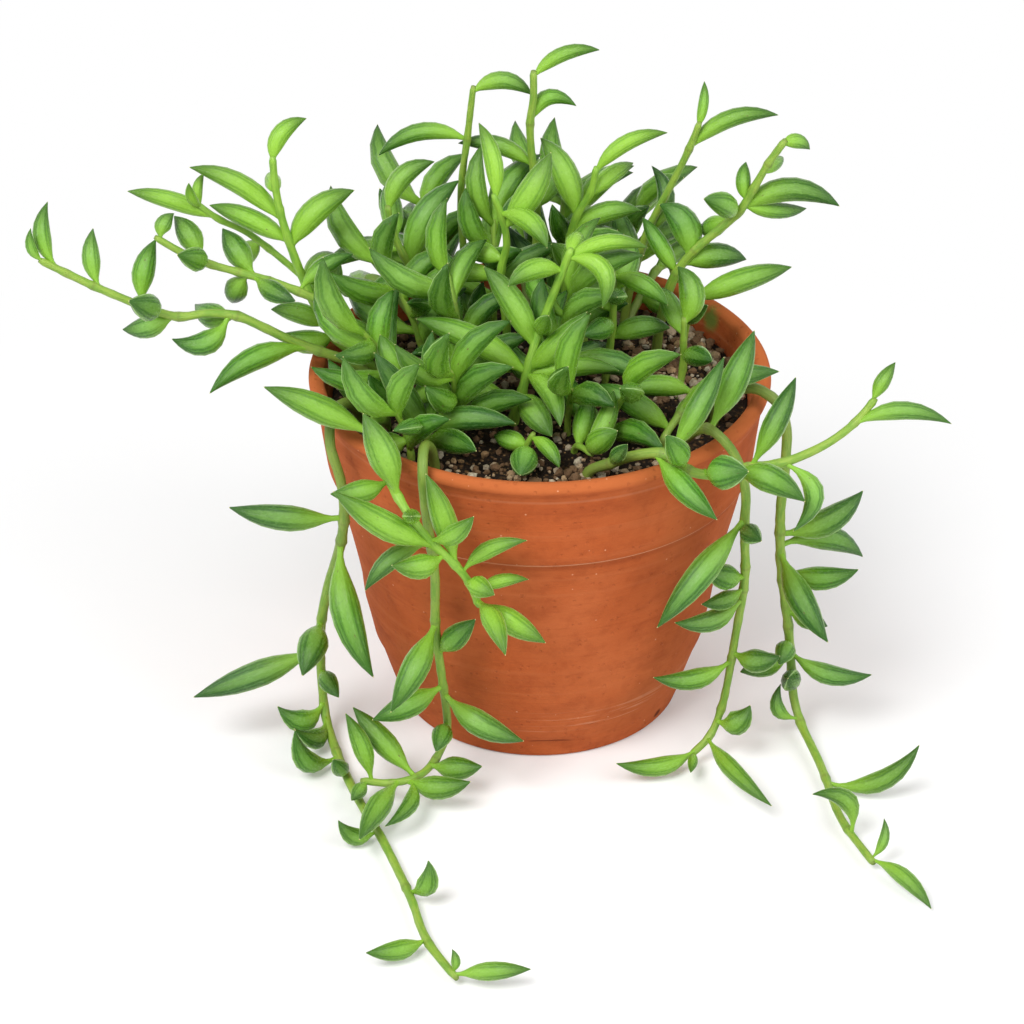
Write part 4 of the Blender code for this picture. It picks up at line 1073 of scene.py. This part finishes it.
class Value:
    """A number, vector or colour that changes over a surface. Arithmetic on it adds nodes."""

    def __init__(self, graph, socket):
        self.graph = graph
        self.socket = socket

    def __add__(self, other):
        return self.graph.math("ADD", self, other)

    def __sub__(self, other):
        return self.graph.math("SUBTRACT", self, other)

    def __rsub__(self, other):
        return self.graph.math("SUBTRACT", other, self)

    def __mul__(self, other):
        return self.graph.math("MULTIPLY", self, other)

    def __abs__(self):
        return self.graph.math("ABSOLUTE", self)


class Graph:
    """Short calls for adding nodes to one node tree."""

    def __init__(self, tree):
        self.tree = tree

    def add(self, kind, *inputs, output=0, **settings):
        """Add a node, set its options, feed its inputs in order, and give one of its outputs."""
        node = self.tree.nodes.new(kind)
        for name, value in settings.items():
            setattr(node, name, value)
        for socket, value in zip(node.inputs, inputs):
            self.feed(socket, value)
        return Value(self, node.outputs[output])

    def feed(self, socket, value):
        """Link a socket, or set its value. A colour is given without its alpha."""
        if isinstance(value, Value):
            self.tree.links.new(value.socket, socket)
        elif value is not None:
            socket.default_value = (*value, 1) if socket.type == "RGBA" else value

    def math(self, operation, a, b=None):
        """One step of arithmetic."""
        return self.add("ShaderNodeMath", a, b, operation=operation)

    def step(self, value, low, high):
        """A smooth step from 0 at low to 1 at high."""
        return self.add("ShaderNodeMapRange", value, low, high, interpolation_type="SMOOTHSTEP")

    def mix(self, share, a, b):
        """Blend two colours."""
        node = self.tree.nodes.new("ShaderNodeMix")
        node.data_type = "RGBA"
        for socket, value in zip((node.inputs[0], node.inputs[6], node.inputs[7]), (share, a, b)):
            self.feed(socket, value)
        return Value(self, node.outputs[2])

    def coats(self, base, *coats):
        """Lay coats over a base colour, one after another: (mask, strength, colour)."""
        for mask, strength, colour in coats:
            base = self.mix(mask * strength, base, colour)
        return base

    def split(self, vector):
        """The three parts of a vector."""
        node = self.tree.nodes.new("ShaderNodeSeparateXYZ")
        self.feed(node.inputs[0], vector)
        return [Value(self, socket) for socket in node.outputs]

    def stretch(self, vector, scale, shift=(0, 0, 0)):
        """Scale a vector by axis, then shift it."""
        scaled = self.add("ShaderNodeVectorMath", vector, scale, operation="MULTIPLY")
        return self.add("ShaderNodeVectorMath", scaled, shift, operation="ADD")

    def place(self):
        """Where a point is on the object."""
        return self.add("ShaderNodeTexCoord", output="Object")

    def attribute(self, name):
        """A vector stored at the mesh's points."""
        return self.add("ShaderNodeAttribute", output="Vector", attribute_name=name)

    def noise(self, place, scale, detail, roughness):
        """Cloudy noise from 0 to 1."""
        return self.add("ShaderNodeTexNoise", place, None, scale, detail, roughness)

    def away(self, place, centre):
        """How far a place is from a centre given in millimetres."""
        centre = tuple(c * MM for c in centre)
        return self.add("ShaderNodeVectorMath", place, centre, output="Value", operation="DISTANCE")

    def group(self, name, place, **values):
        """Place a node group and feed its named inputs."""
        node = self.tree.nodes.new("ShaderNodeGroup")
        node.node_tree = bpy.data.node_groups[name]
        self.feed(node.inputs["Place"], place)
        for key, value in values.items():
            self.feed(node.inputs[key.replace("_", " ")], value)
        return Value(self, node.outputs[0])

    def mottling(self, place, scale, low, high):
        """Soft blotches."""
        return self.group("Mottling", place, Scale=scale, Low=low, High=high)

    def specks(self, place, scale, share, size):
        """Small round specks."""
        return self.group("Specks", place, Scale=scale, Share=share, Size=size)

    def grain(self, place, fine, coarse):
        """Fine uneven height."""
        return self.group("Grain", place, Fine_Scale=fine, Coarse_Scale=coarse)

    def height_band(self, height, low, high, soft):
        """A mask that is 1 between two heights in millimetres, with soft edges."""
        rise = self.step(height, (low - soft) * MM, (low + soft) * MM)
        return rise - self.step(height, (high - soft) * MM, (high + soft) * MM)

    def finish(self, colour, roughness, relief, strength, depth, specular=0.5):
        """Feed the Principled shader its colour, its roughness and the relief of its surface."""
        shader = self.tree.nodes["Principled BSDF"]
        self.feed(shader.inputs["Base Color"], colour)
        self.feed(shader.inputs["Roughness"], roughness)
        shader.inputs["Specular IOR Level"].default_value = specular
        bump = self.tree.nodes.new("ShaderNodeBump")
        for name, value in (("Strength", strength), ("Distance", depth), ("Height", relief)):
            self.feed(bump.inputs[name], value)
        self.tree.links.new(bump.outputs[0], shader.inputs["Normal"])


def new_material(name):
    """A new material's graph, with a Principled shader in it."""
    material = bpy.data.materials.new(name)
    material.use_nodes = True
    return Graph(material.node_tree)


def make_group(name, output, **inputs):
    """An empty node group with named number inputs: its graph, its inputs and its output."""
    tree = bpy.data.node_groups.new(name, "ShaderNodeTree")
    add_socket = tree.interface.new_socket
    add_socket("Place", in_out="INPUT", socket_type="NodeSocketVector")
    for label, value in inputs.items():
        socket = add_socket(label.replace("_", " "), in_out="INPUT", socket_type="NodeSocketFloat")
        socket.default_value = value
    add_socket(output, in_out="OUTPUT", socket_type="NodeSocketFloat")
    graph = Graph(tree)
    given = tree.nodes.new("NodeGroupInput").outputs
    out = tree.nodes.new("NodeGroupOutput").inputs[0]
    return graph, [Value(graph, socket) for socket in given][:len(inputs) + 1], out


def make_mottling():
    """Soft blotches: a mask that is 1 where cloudy noise is high."""
    graph, (place, scale, low, high), out = make_group("Mottling", "Mask", Scale=5.0, Low=0.4, High=0.6)
    graph.feed(out, graph.step(graph.noise(place, scale, 5.0, 0.6), low, high))


def make_specks():
    """Small round specks in a share of the cells of a cell pattern."""
    graph, (place, scale, share, size), out = make_group("Specks", "Mask", Scale=5.0, Share=0.2, Size=0.2)
    cells = graph.tree.nodes.new("ShaderNodeTexVoronoi")
    graph.feed(cells.inputs["Vector"], place)
    graph.feed(cells.inputs["Scale"], scale)
    distance, colour = (Value(graph, cells.outputs[name]) for name in ("Distance", "Color"))
    chosen = graph.math("LESS_THAN", graph.split(colour)[0], share)
    graph.feed(out, chosen * (1.0 - graph.step(distance, size * 0.5, size)))


def make_grain():
    """Fine uneven height for a bump."""
    graph, (place, fine, coarse), out = make_group("Grain", "Height", Fine_Scale=900.0, Coarse_Scale=120.0)
    graph.feed(out, graph.noise(place, fine, 3.0, 0.6) * 0.5 + graph.noise(place, coarse, 3.0, 0.5))


def make_leaf_material(plant):
    """A fleshy leaf: a clear band along its top, darker bands beside it, pale margins."""
    graph = new_material("leaf")
    place = graph.attribute("leaf_place")
    across, up, along = graph.split(place)
    tone, youth, seed = graph.split(graph.attribute("leaf_tone"))
    shift = graph.add("ShaderNodeCombineXYZ", seed, seed * 1.7, seed)
    streaks = graph.noise(graph.stretch(place, (7, 7, 1.3), shift), 2.6, 5.0, 0.72)
    flecks = graph.noise(graph.stretch(place, (4, 4, 14), shift), 1.6, 4.0, 0.75)
    mottle = graph.mottling(graph.stretch(place, (2, 2, 7), shift), 2.2, 0.42, 0.66)
    scars = graph.specks(graph.stretch(place, (1.6, 1.6, 6), shift), 1.3, 0.07, 0.16)
    # The bands: a clear one along the middle of the top and bottom, a dark one beside it.
    facing = abs(up * up - across * across) + (streaks - 0.5)
    body = graph.step(along, 0.1, 0.28) * (1.0 - graph.step(along, 0.78, 0.97))
    strength = (graph.step(up, -0.8, 0.6) * 0.45 + 0.55) * body
    window = graph.step(facing, 0.54, 0.76) * strength
    band = graph.step(facing, 0.13, 0.27) * (1.0 - graph.step(facing, 0.48, 0.62)) * strength
    bloomed = graph.step(graph.math("FRACT", seed * 0.37), 0.5, 0.9)
    margin = graph.step(abs(across), 0.95, 0.985) * graph.step(along, 0.08, 0.25)
    colour = graph.mix(tone * 0.85 + streaks * 0.35, plant.old_green, plant.leaf_green)
    colour = graph.mix(bloomed * BLOOM + mottle * 0.12, colour, plant.bloom_green)
    colour = graph.mix(youth, colour, plant.young_green)
    colour = graph.coats(
        colour,
        (band, 0.52, graph.mix(youth, plant.old_green, plant.leaf_green)),
        (window, 0.32, graph.mix(youth, plant.window_green, plant.young_green)),
        (1.0 - graph.step(along, 0.02, 0.6), 0.75, plant.young_green),
        (graph.step(along, 0.5, 1.0), 0.72, plant.old_green),
        (graph.step(flecks, 0.55, 0.64), 0.18, plant.window_green),
        (1.0 - graph.step(flecks, 0.36, 0.44), 0.22, plant.old_green),
        (margin, 0.75, plant.margin_colour),
        (scars, 0.8, plant.scar_colour),
        (graph.step(along, 0.985, 0.995), 1.0, plant.tip_colour))
    roughness = mottle * 0.16 + (plant.leaf_roughness - 0.04)
    graph.finish(colour, roughness, streaks + flecks * 0.35, 0.35, 0.0006, specular=0.26)


def make_stem_material(plant):
    """A stem: yellow-green when young, olive when old, with fine ridges, specks and scars."""
    graph = new_material("stem")
    place = graph.attribute("stem_place")
    share, youth, joint = graph.split(graph.attribute("stem_tone"))
    ridges = graph.noise(graph.stretch(place, (3.2, 3.2, 0.06)), 2.0, 3.0, 0.6)
    specks = graph.specks(graph.stretch(place, (1.2, 1.2, 0.5)), 2.4, 0.16, 0.3)
    mottle = graph.mottling(graph.stretch(place, (0.5, 0.5, 0.1)), 1.6, 0.42, 0.62)
    age = (1.0 - graph.step(share, 0.0, 0.45)) * (1.0 - youth * 0.85)
    colour = graph.coats(
        graph.mix(youth, plant.stem_green, plant.young_green),
        (mottle, 0.45, plant.leaf_green),
        (graph.step(ridges, 0.5, 0.62), 0.35, plant.leaf_green),
        (age, 0.75, plant.old_stem),
        (graph.step(joint, 0.55, 1.0) * (1.0 - youth), 0.3, plant.scar_colour),
        (specks * (0.75 - youth * 0.65), 1.0, plant.scar_colour))
    graph.finish(colour, mottle * 0.15 + 0.42, ridges, 0.5, 0.0006)


def make_clay_material(pot):
    """Fired clay: throwing lines, dusty and damp patches, pits and scuffs, with painted highlights on the lip
    and along the collar's edge, and painted shade below the lip, under the collar, at the foot, in a chip and
    a crease.
    """
    graph = new_material("fired_clay")
    mapping = graph.tree.nodes.new("ShaderNodeMapping")
    graph.feed(mapping.inputs["Vector"], graph.place())
    mapping.inputs["Location"].default_value = (-POT_AXIS[0] * MM, -POT_AXIS[1] * MM, 0)
    place = Value(graph, mapping.outputs[0])
    x, y, height = graph.split(place)
    rounds = graph.noise(graph.stretch(place, (9, 9, 420)), 1.0, 4.0, 0.6)
    fine_rounds = graph.noise(graph.stretch(place, (30, 30, 1500)), 1.0, 3.0, 0.6)
    scratches = graph.noise(graph.stretch(place, (22, 22, 900)), 1.0, 5.0, 0.7)
    cloud = graph.mottling(place, 26.0, 0.36, 0.68)
    patch = graph.mottling(graph.stretch(place, (1, 1, 2.2)), 60.0, 0.5, 0.7)
    blot = graph.mottling(place, 220.0, 0.45, 0.72)
    pits = graph.specks(place, 520.0, 0.22, 0.34)
    chalk = graph.specks(place, 430.0, 0.09, 0.16)
    # Painted highlight: the top of the lip is painted brighter, where it faces the light from above.
    lip = graph.step(height, (POT_HEIGHT - 3.6) * MM, (POT_HEIGHT - 1.4) * MM)
    lip_foot = POT_HEIGHT - LIP_HEIGHT
    # Painted shade: a darker band just below the lip's foot, under the lip's overhang.
    shade_below_lip = graph.height_band(height, lip_foot - 5, lip_foot - 1, 1.5)
    # Painted highlights: thin pale lines along the collar's lower edge and the lip's foot, broken up along
    # their length by the fine throwing lines.
    broken = graph.step(fine_rounds, 0.4, 0.6) * 0.6 + 0.4
    collar_highlight = graph.height_band(height, COLLAR_EDGE_HEIGHT - 1.3, COLLAR_EDGE_HEIGHT - 0.1, 0.25) * broken
    lip_foot_highlight = graph.height_band(height, lip_foot - 0.2, lip_foot + 0.7, 0.3) * broken
    # Painted shade: a darker band just under the collar's step.
    shade_under_collar = graph.height_band(height, COLLAR_EDGE_HEIGHT - 3.2, COLLAR_EDGE_HEIGHT - 1.4, 0.6)
    scuff_zone = graph.height_band(height, 9, 20, 3) * graph.step(x, -0.03, 0.03)
    scuff = graph.step(scratches, 0.55, 0.64) * scuff_zone
    # Painted contact shade: the foot's bottom edge darkened in patches where it meets the floor.
    foot_contact_shade = graph.height_band(height, -1, 1.2, 0.8) * graph.step(blot, 0.2, 0.8)
    # Painted shade: a near-black patch for a chip low on the foot, and a dark line in the crease along the
    # pressed dent's edge.
    chip = 1.0 - graph.step(graph.away(place, CHIP_PLACE) + blot * 0.001, 0.001, 0.0022)
    crease = graph.height_band(height, 6.2, 7.0, 0.3) * graph.step(y, 0.0, -0.03)
    crease = crease * (graph.step(x, -0.004, -0.001) - graph.step(x, 0.007, 0.011))
    moss = 1.0 - graph.step(graph.away(place, MOSS_PLACE) + blot * 0.0015, 0.002, 0.0055)
    # Of these coats, the lip, the two edge lines, the bands below the lip and under the collar, the foot
    # edge, the chip and the crease are painted light and shade.
    colour = graph.coats(
        pot.clay,
        (cloud, 0.5, pot.pale_clay),
        (patch, 0.3, pot.dark_and_shade_clay),
        (blot, 0.28, pot.dark_and_shade_clay),
        (graph.step(rounds, 0.52, 0.7), 0.28, pot.pale_clay),
        (graph.step(fine_rounds, 0.55, 0.7), 0.16, pot.dark_and_shade_clay),
        (lip, 0.7, pot.lit_lip_clay),
        (shade_below_lip, 0.2, pot.dark_and_shade_clay),
        (collar_highlight, 0.75, pot.pale_marks_and_highlight_clay),
        (lip_foot_highlight, 0.15, pot.pale_marks_and_highlight_clay),
        (shade_under_collar, 0.3, pot.dark_and_shade_clay),
        (scuff, 0.5, pot.pale_marks_and_highlight_clay),
        (foot_contact_shade, 0.5, pot.dark_and_shade_clay),
        (pits, 0.16, pot.dark_and_shade_clay),
        (chalk, 0.75, pot.pale_marks_and_highlight_clay),
        (chip, 0.9, pot.chip_and_crease_shade),
        (crease, 0.7, pot.chip_and_crease_shade),
        (moss, 0.8, pot.moss))
    relief = graph.grain(place, 2600.0, 420.0) * 0.5 + rounds * 0.6 + fine_rounds * 0.25 - pits * 0.5
    graph.finish(colour, cloud * 0.1 + 0.86, relief, 0.6, 0.0006, specular=0.12)


def make_earth_material(soil):
    """Potting mix: near black, with brown fibres and crumbs and pale dust."""
    graph = new_material("earth")
    place = graph.place()
    lumps = graph.mottling(place, 150.0, 0.45, 0.65)
    crumbs = graph.specks(place, 520.0, 0.35, 0.5)
    colour = graph.coats(
        soil.earth,
        (graph.mottling(place, 520.0, 0.5, 0.66), 0.4, soil.bark),
        (lumps, 0.45, soil.earth),
        (crumbs, 0.75, soil.bark),
        (graph.specks(place, 950.0, 0.14, 0.42), 0.75, soil.tan_grit))
    relief = graph.grain(place, 1800.0, 600.0) + crumbs * 0.6
    graph.finish(colour, lumps * 0.1 + 0.88, relief, 1.0, 0.0012, specular=0.15)


def make_grit_material(soil):
    """Grit: each piece has its own shade between bark, tan and greyish white."""
    graph = new_material("grit")
    shade, warmth = graph.split(graph.attribute("grit_tone"))[:2]
    place = graph.place()
    spots = graph.mottling(place, 900.0, 0.42, 0.62)
    colour = graph.mix(warmth, soil.pale_grit, soil.tan_grit)
    colour = graph.mix(graph.step(shade, 0.5, 0.62), soil.bark, colour)
    colour = graph.coats(colour, (spots, 0.4, soil.bark))
    graph.finish(colour, spots * 0.1 + 0.8, graph.grain(place, 2200.0, 900.0), 0.8, 0.0006)


def seen_directly(graph):
    """A mask that is 1 where the camera sees a surface, straight on or in gloss or glass."""
    path = graph.tree.nodes.new("ShaderNodeLightPath").outputs
    rays = ("Is Camera Ray", "Is Transmission Ray", "Is Glossy Ray")
    camera, glass, gloss = (Value(graph, path[ray]) for ray in rays)
    return graph.math("MAXIMUM", graph.math("MAXIMUM", camera, glass), gloss)


def make_floor_material(stage):
    """The plain pale floor: it keeps the shadow near the object, and is seen as plain white far off."""
    graph = new_material("floor")
    shader = graph.tree.nodes["Principled BSDF"]
    graph.feed(shader.inputs["Base Color"], stage.floor_colour)
    shader.inputs["Roughness"].default_value = 0.9
    shader.inputs["Specular IOR Level"].default_value = 0.1
    white = graph.add("ShaderNodeEmission", (1, 1, 1), 1.0)
    away = graph.add("ShaderNodeVectorMath", graph.place(), output="Value", operation="LENGTH")
    share = graph.step(away, *SHADOW_REACH) * (1 - stage.floor_white) + stage.floor_white
    matt = Value(graph, shader.outputs[0])
    blend = graph.add("ShaderNodeMixShader", seen_directly(graph) * share, matt, white)
    graph.feed(graph.tree.nodes["Material Output"].inputs["Surface"], blend)


# Operators

class BANANAS_OT_finishes(bpy.types.Operator):
    """Make the shared effects and the materials"""
    bl_idname = "bananas.finishes"
    bl_label = "Make finishes"

    def execute(self, context):
        scene = context.scene
        make_mottling()
        make_specks()
        make_grain()
        make_leaf_material(scene.bananas_plant)
        make_stem_material(scene.bananas_plant)
        make_clay_material(scene.bananas_pot)
        make_earth_material(scene.bananas_soil)
        make_grit_material(scene.bananas_soil)
        make_floor_material(scene.bananas_stage)
        return {"FINISHED"}


class BANANAS_OT_pot(bpy.types.Operator):
    """Turn the clay pot: lip, collar, belt, foot, floor and drain hole"""
    bl_idname = "bananas.pot"
    bl_label = "Make pot"

    def execute(self, context):
        settings = context.scene.bananas_pot
        pot = turned("pot_visual", pot_outline(), settings.sides)
        set_places(pot, hand_turned(places_of(pot), settings))
        to_pot(pot)
        paint(pot, "fired_clay")
        show(pot, "clay", "pot")
        return {"FINISHED"}


class BANANAS_OT_soil(bpy.types.Operator):
    """Make the soil with its uneven surface"""
    bl_idname = "bananas.soil"
    bl_label = "Make soil"

    def execute(self, context):
        settings = context.scene.bananas_soil
        soil = turned("soil_visual", soil_outline(), SOIL_AROUND)
        places = places_of(soil)
        on_top = (places[:, 2] > (SOIL_EDGE_HEIGHT - 0.5) * MM)
        for k in np.nonzero(on_top)[0]:
            places[k, 2] += soil_unevenness(*places[k, :2] / MM) * settings.roughness
        set_places(soil, places)
        to_pot(soil)
        paint(soil, "earth")
        show(soil, "potting_mix", "soil")
        return {"FINISHED"}


class BANANAS_OT_grit(bpy.types.Operator):
    """Scatter the grit and the crumbs of bark over the soil"""
    bl_idname = "bananas.grit"
    bl_label = "Scatter grit"

    def execute(self, context):
        settings = context.scene.bananas_soil
        draw = random.Random(GRIT_SEED)
        deselect()
        bpy.ops.mesh.primitive_ico_sphere_add(subdivisions=1, radius=0.5)
        stone = bpy.context.object
        limit = pot_inner_radius(SOIL_EDGE_HEIGHT) - GRIT_EDGE
        pieces = []
        while len(pieces) < settings.grit_count:
            reach = limit * math.sqrt(draw.random())
            turn = draw.uniform(0, math.tau)
            x, y = reach * math.cos(turn), reach * math.sin(turn)
            if draw.random() > grit_share(x, y):
                continue
            size = settings.grit_size / MM * draw.choice(GRIT_SIZES)
            size *= 1 + LUMP_GROWTH * bareness(x, y)
            pieces.append(lay_stone(stone, draw, x, y, size, settings))
        remove(stone)
        grit = joined(pieces, "grit")
        to_pot(grit)
        paint(grit, "grit")
        show(grit, "potting_mix")
        return {"FINISHED"}


def prototype_for(name, plump, stalked, small):
    """The leaf that a shoot bears: tufts and the shoots at the back bear the small one."""
    if name.startswith(("tuft", "back_trail")):
        return small
    return stalked if TRAIL_WORD in name or REACHING_WORD in name else plump


class BANANAS_OT_shoots(bpy.types.Operator):
    """Grow every shoot: its stem, and its leaves where the plan has them"""
    bl_idname = "bananas.shoots"
    bl_label = "Grow shoots"

    def execute(self, context):
        prototypes = [make_leaf_prototype("plump_leaf", PLUMP_LEAF, LEAF_AROUND),
                      make_leaf_prototype("stalked_leaf", STALKED_LEAF, LEAF_AROUND),
                      make_leaf_prototype("tuft_leaf", TUFT_LEAF, TUFT_LEAF_AROUND)]
        draw = random.Random(LEAF_SEED)
        for number, (name, stem, leaves) in enumerate(plan_plant()):
            young = YOUNG_WORD in name
            shares = [stem.share_of(leaf.base) for leaf in leaves]
            stem_youth = YOUNG_STEM if young else OLD_STEM
            body = grow_stem(name + "_stem", stem, shares, stem_youth, number * STEM_SEED_STEP)
            paint(body, "stem")
            parts = [body]
            for share, leaf in zip(shares, leaves):
                youth = (YOUNG_LEAF if young else 0) + TIP_YOUTH * share ** 3 + draw.uniform(*YOUTH_SPREAD)
                tone = draw.uniform(*TONE_SPREAD) * (TRAIL_SHADE if TRAIL_WORD in name else 1)
                prototype = prototype_for(name, *prototypes)
                blade = grow_leaf(prototype, leaf, tone, min(1, max(0, youth)), draw.uniform(0, 50))
                paint(blade, "leaf")
                parts.append(blade)
            show(joined(parts, name + "_shoot"), "young_green" if young else "leaf_green", name)
        for prototype in prototypes:
            remove(prototype)
        return {"FINISHED"}


class BANANAS_OT_stage(bpy.types.Operator):
    """Set the floor, the soft studio lamps, the sky and the camera"""
    bl_idname = "bananas.stage"
    bl_label = "Set stage"

    def execute(self, context):
        scene = context.scene
        settings = scene.bananas_stage
        deselect()
        bpy.ops.mesh.primitive_plane_add(size=settings.floor_size, location=(0, 0, FLOOR_DROP * MM))
        floor = bpy.context.object
        floor.name = "floor"
        paint(floor, "floor")
        for name, place, size, share in LAMPS:
            bpy.ops.object.light_add(type="AREA", location=place)
            lamp = bpy.context.object
            lamp.name = name
            lamp.data.shape = "DISK"
            lamp.data.size = size
            lamp.data.energy = settings.key_power * share
            aim = Vector((*POT_AXIS, LAMP_AIM)) * MM - lamp.location
            lamp.rotation_euler = aim.to_track_quat("-Z", "Y").to_euler()
        self.set_sky(scene, settings)
        target = Vector((*(POT_AXIS[k] + VIEW_TARGET[k] for k in (0, 1)), VIEW_TARGET[2])) * MM
        rise = settings.camera_rise
        away = Vector((0, -math.cos(rise), math.sin(rise))) * settings.camera_distance
        bpy.ops.object.camera_add(location=target + away)
        camera = bpy.context.object
        camera.name = "camera"
        camera.rotation_euler = (-away).to_track_quat("-Z", "Y").to_euler()
        camera.data.sensor_width = 36
        camera.data.angle = settings.camera_view
        camera.data.clip_start = 0.01
        scene.camera = camera
        scene.view_settings.view_transform = "Standard"
        return {"FINISHED"}

    def set_sky(self, scene, settings):
        """Even light from all round, seen as plain white."""
        world = bpy.data.worlds.new("studio")
        world.use_nodes = True
        scene.world = world
        graph = Graph(world.node_tree)
        back = world.node_tree.nodes["Background"].inputs
        graph.feed(back["Color"], (1, 1, 1))
        strength = graph.add("ShaderNodeMapRange", seen_directly(graph), 0.0, 1.0, settings.sky_level, 1.0)
        graph.feed(back["Strength"], strength)


class BANANAS_PT_panel(bpy.types.Panel):
    """The settings and the steps of the potted plant"""
    bl_label = "String of Bananas"
    bl_idname = "BANANAS_PT_panel"
    bl_space_type = "VIEW_3D"
    bl_region_type = "UI"
    bl_category = "String of Bananas"

    def draw(self, context):
        for title, group, kind in SETTINGS:
            box = self.layout.box()
            box.label(text=title)
            settings = getattr(context.scene, group)
            for name in settings.bl_rna.properties.keys():
                if name not in ("rna_type", "name"):
                    box.prop(settings, name)
        for step in STEPS:
            self.layout.operator("bananas." + step)


SETTINGS = (("Plant", "bananas_plant", PlantSettings), ("Pot", "bananas_pot", PotSettings),
            ("Soil", "bananas_soil", SoilSettings), ("Stage", "bananas_stage", StageSettings))
STEPS = ("finishes", "stage", "pot", "soil", "grit", "shoots")
CLASSES = (PlantSettings, PotSettings, SoilSettings, StageSettings, BANANAS_OT_finishes, BANANAS_OT_pot,
           BANANAS_OT_soil, BANANAS_OT_grit, BANANAS_OT_shoots, BANANAS_OT_stage, BANANAS_PT_panel)


def register():
    """Tell Blender of the settings, the steps and the panel."""
    for part in CLASSES:
        bpy.utils.register_class(part)
    for title, name, group in SETTINGS:
        setattr(bpy.types.Scene, name, bpy.props.PointerProperty(type=group))


def unregister():
    """Take the settings, the steps and the panel away again."""
    for title, name, group in SETTINGS:
        delattr(bpy.types.Scene, name)
    for part in reversed(CLASSES):
        bpy.utils.unregister_class(part)


def main():
    """Take every step in its order."""
    register()
    bpy.ops.bananas.finishes()
    bpy.ops.bananas.stage()
    bpy.ops.bananas.pot()
    bpy.ops.bananas.soil()
    bpy.ops.bananas.grit()
    bpy.ops.bananas.shoots()


if __name__ == "__main__":
    main()
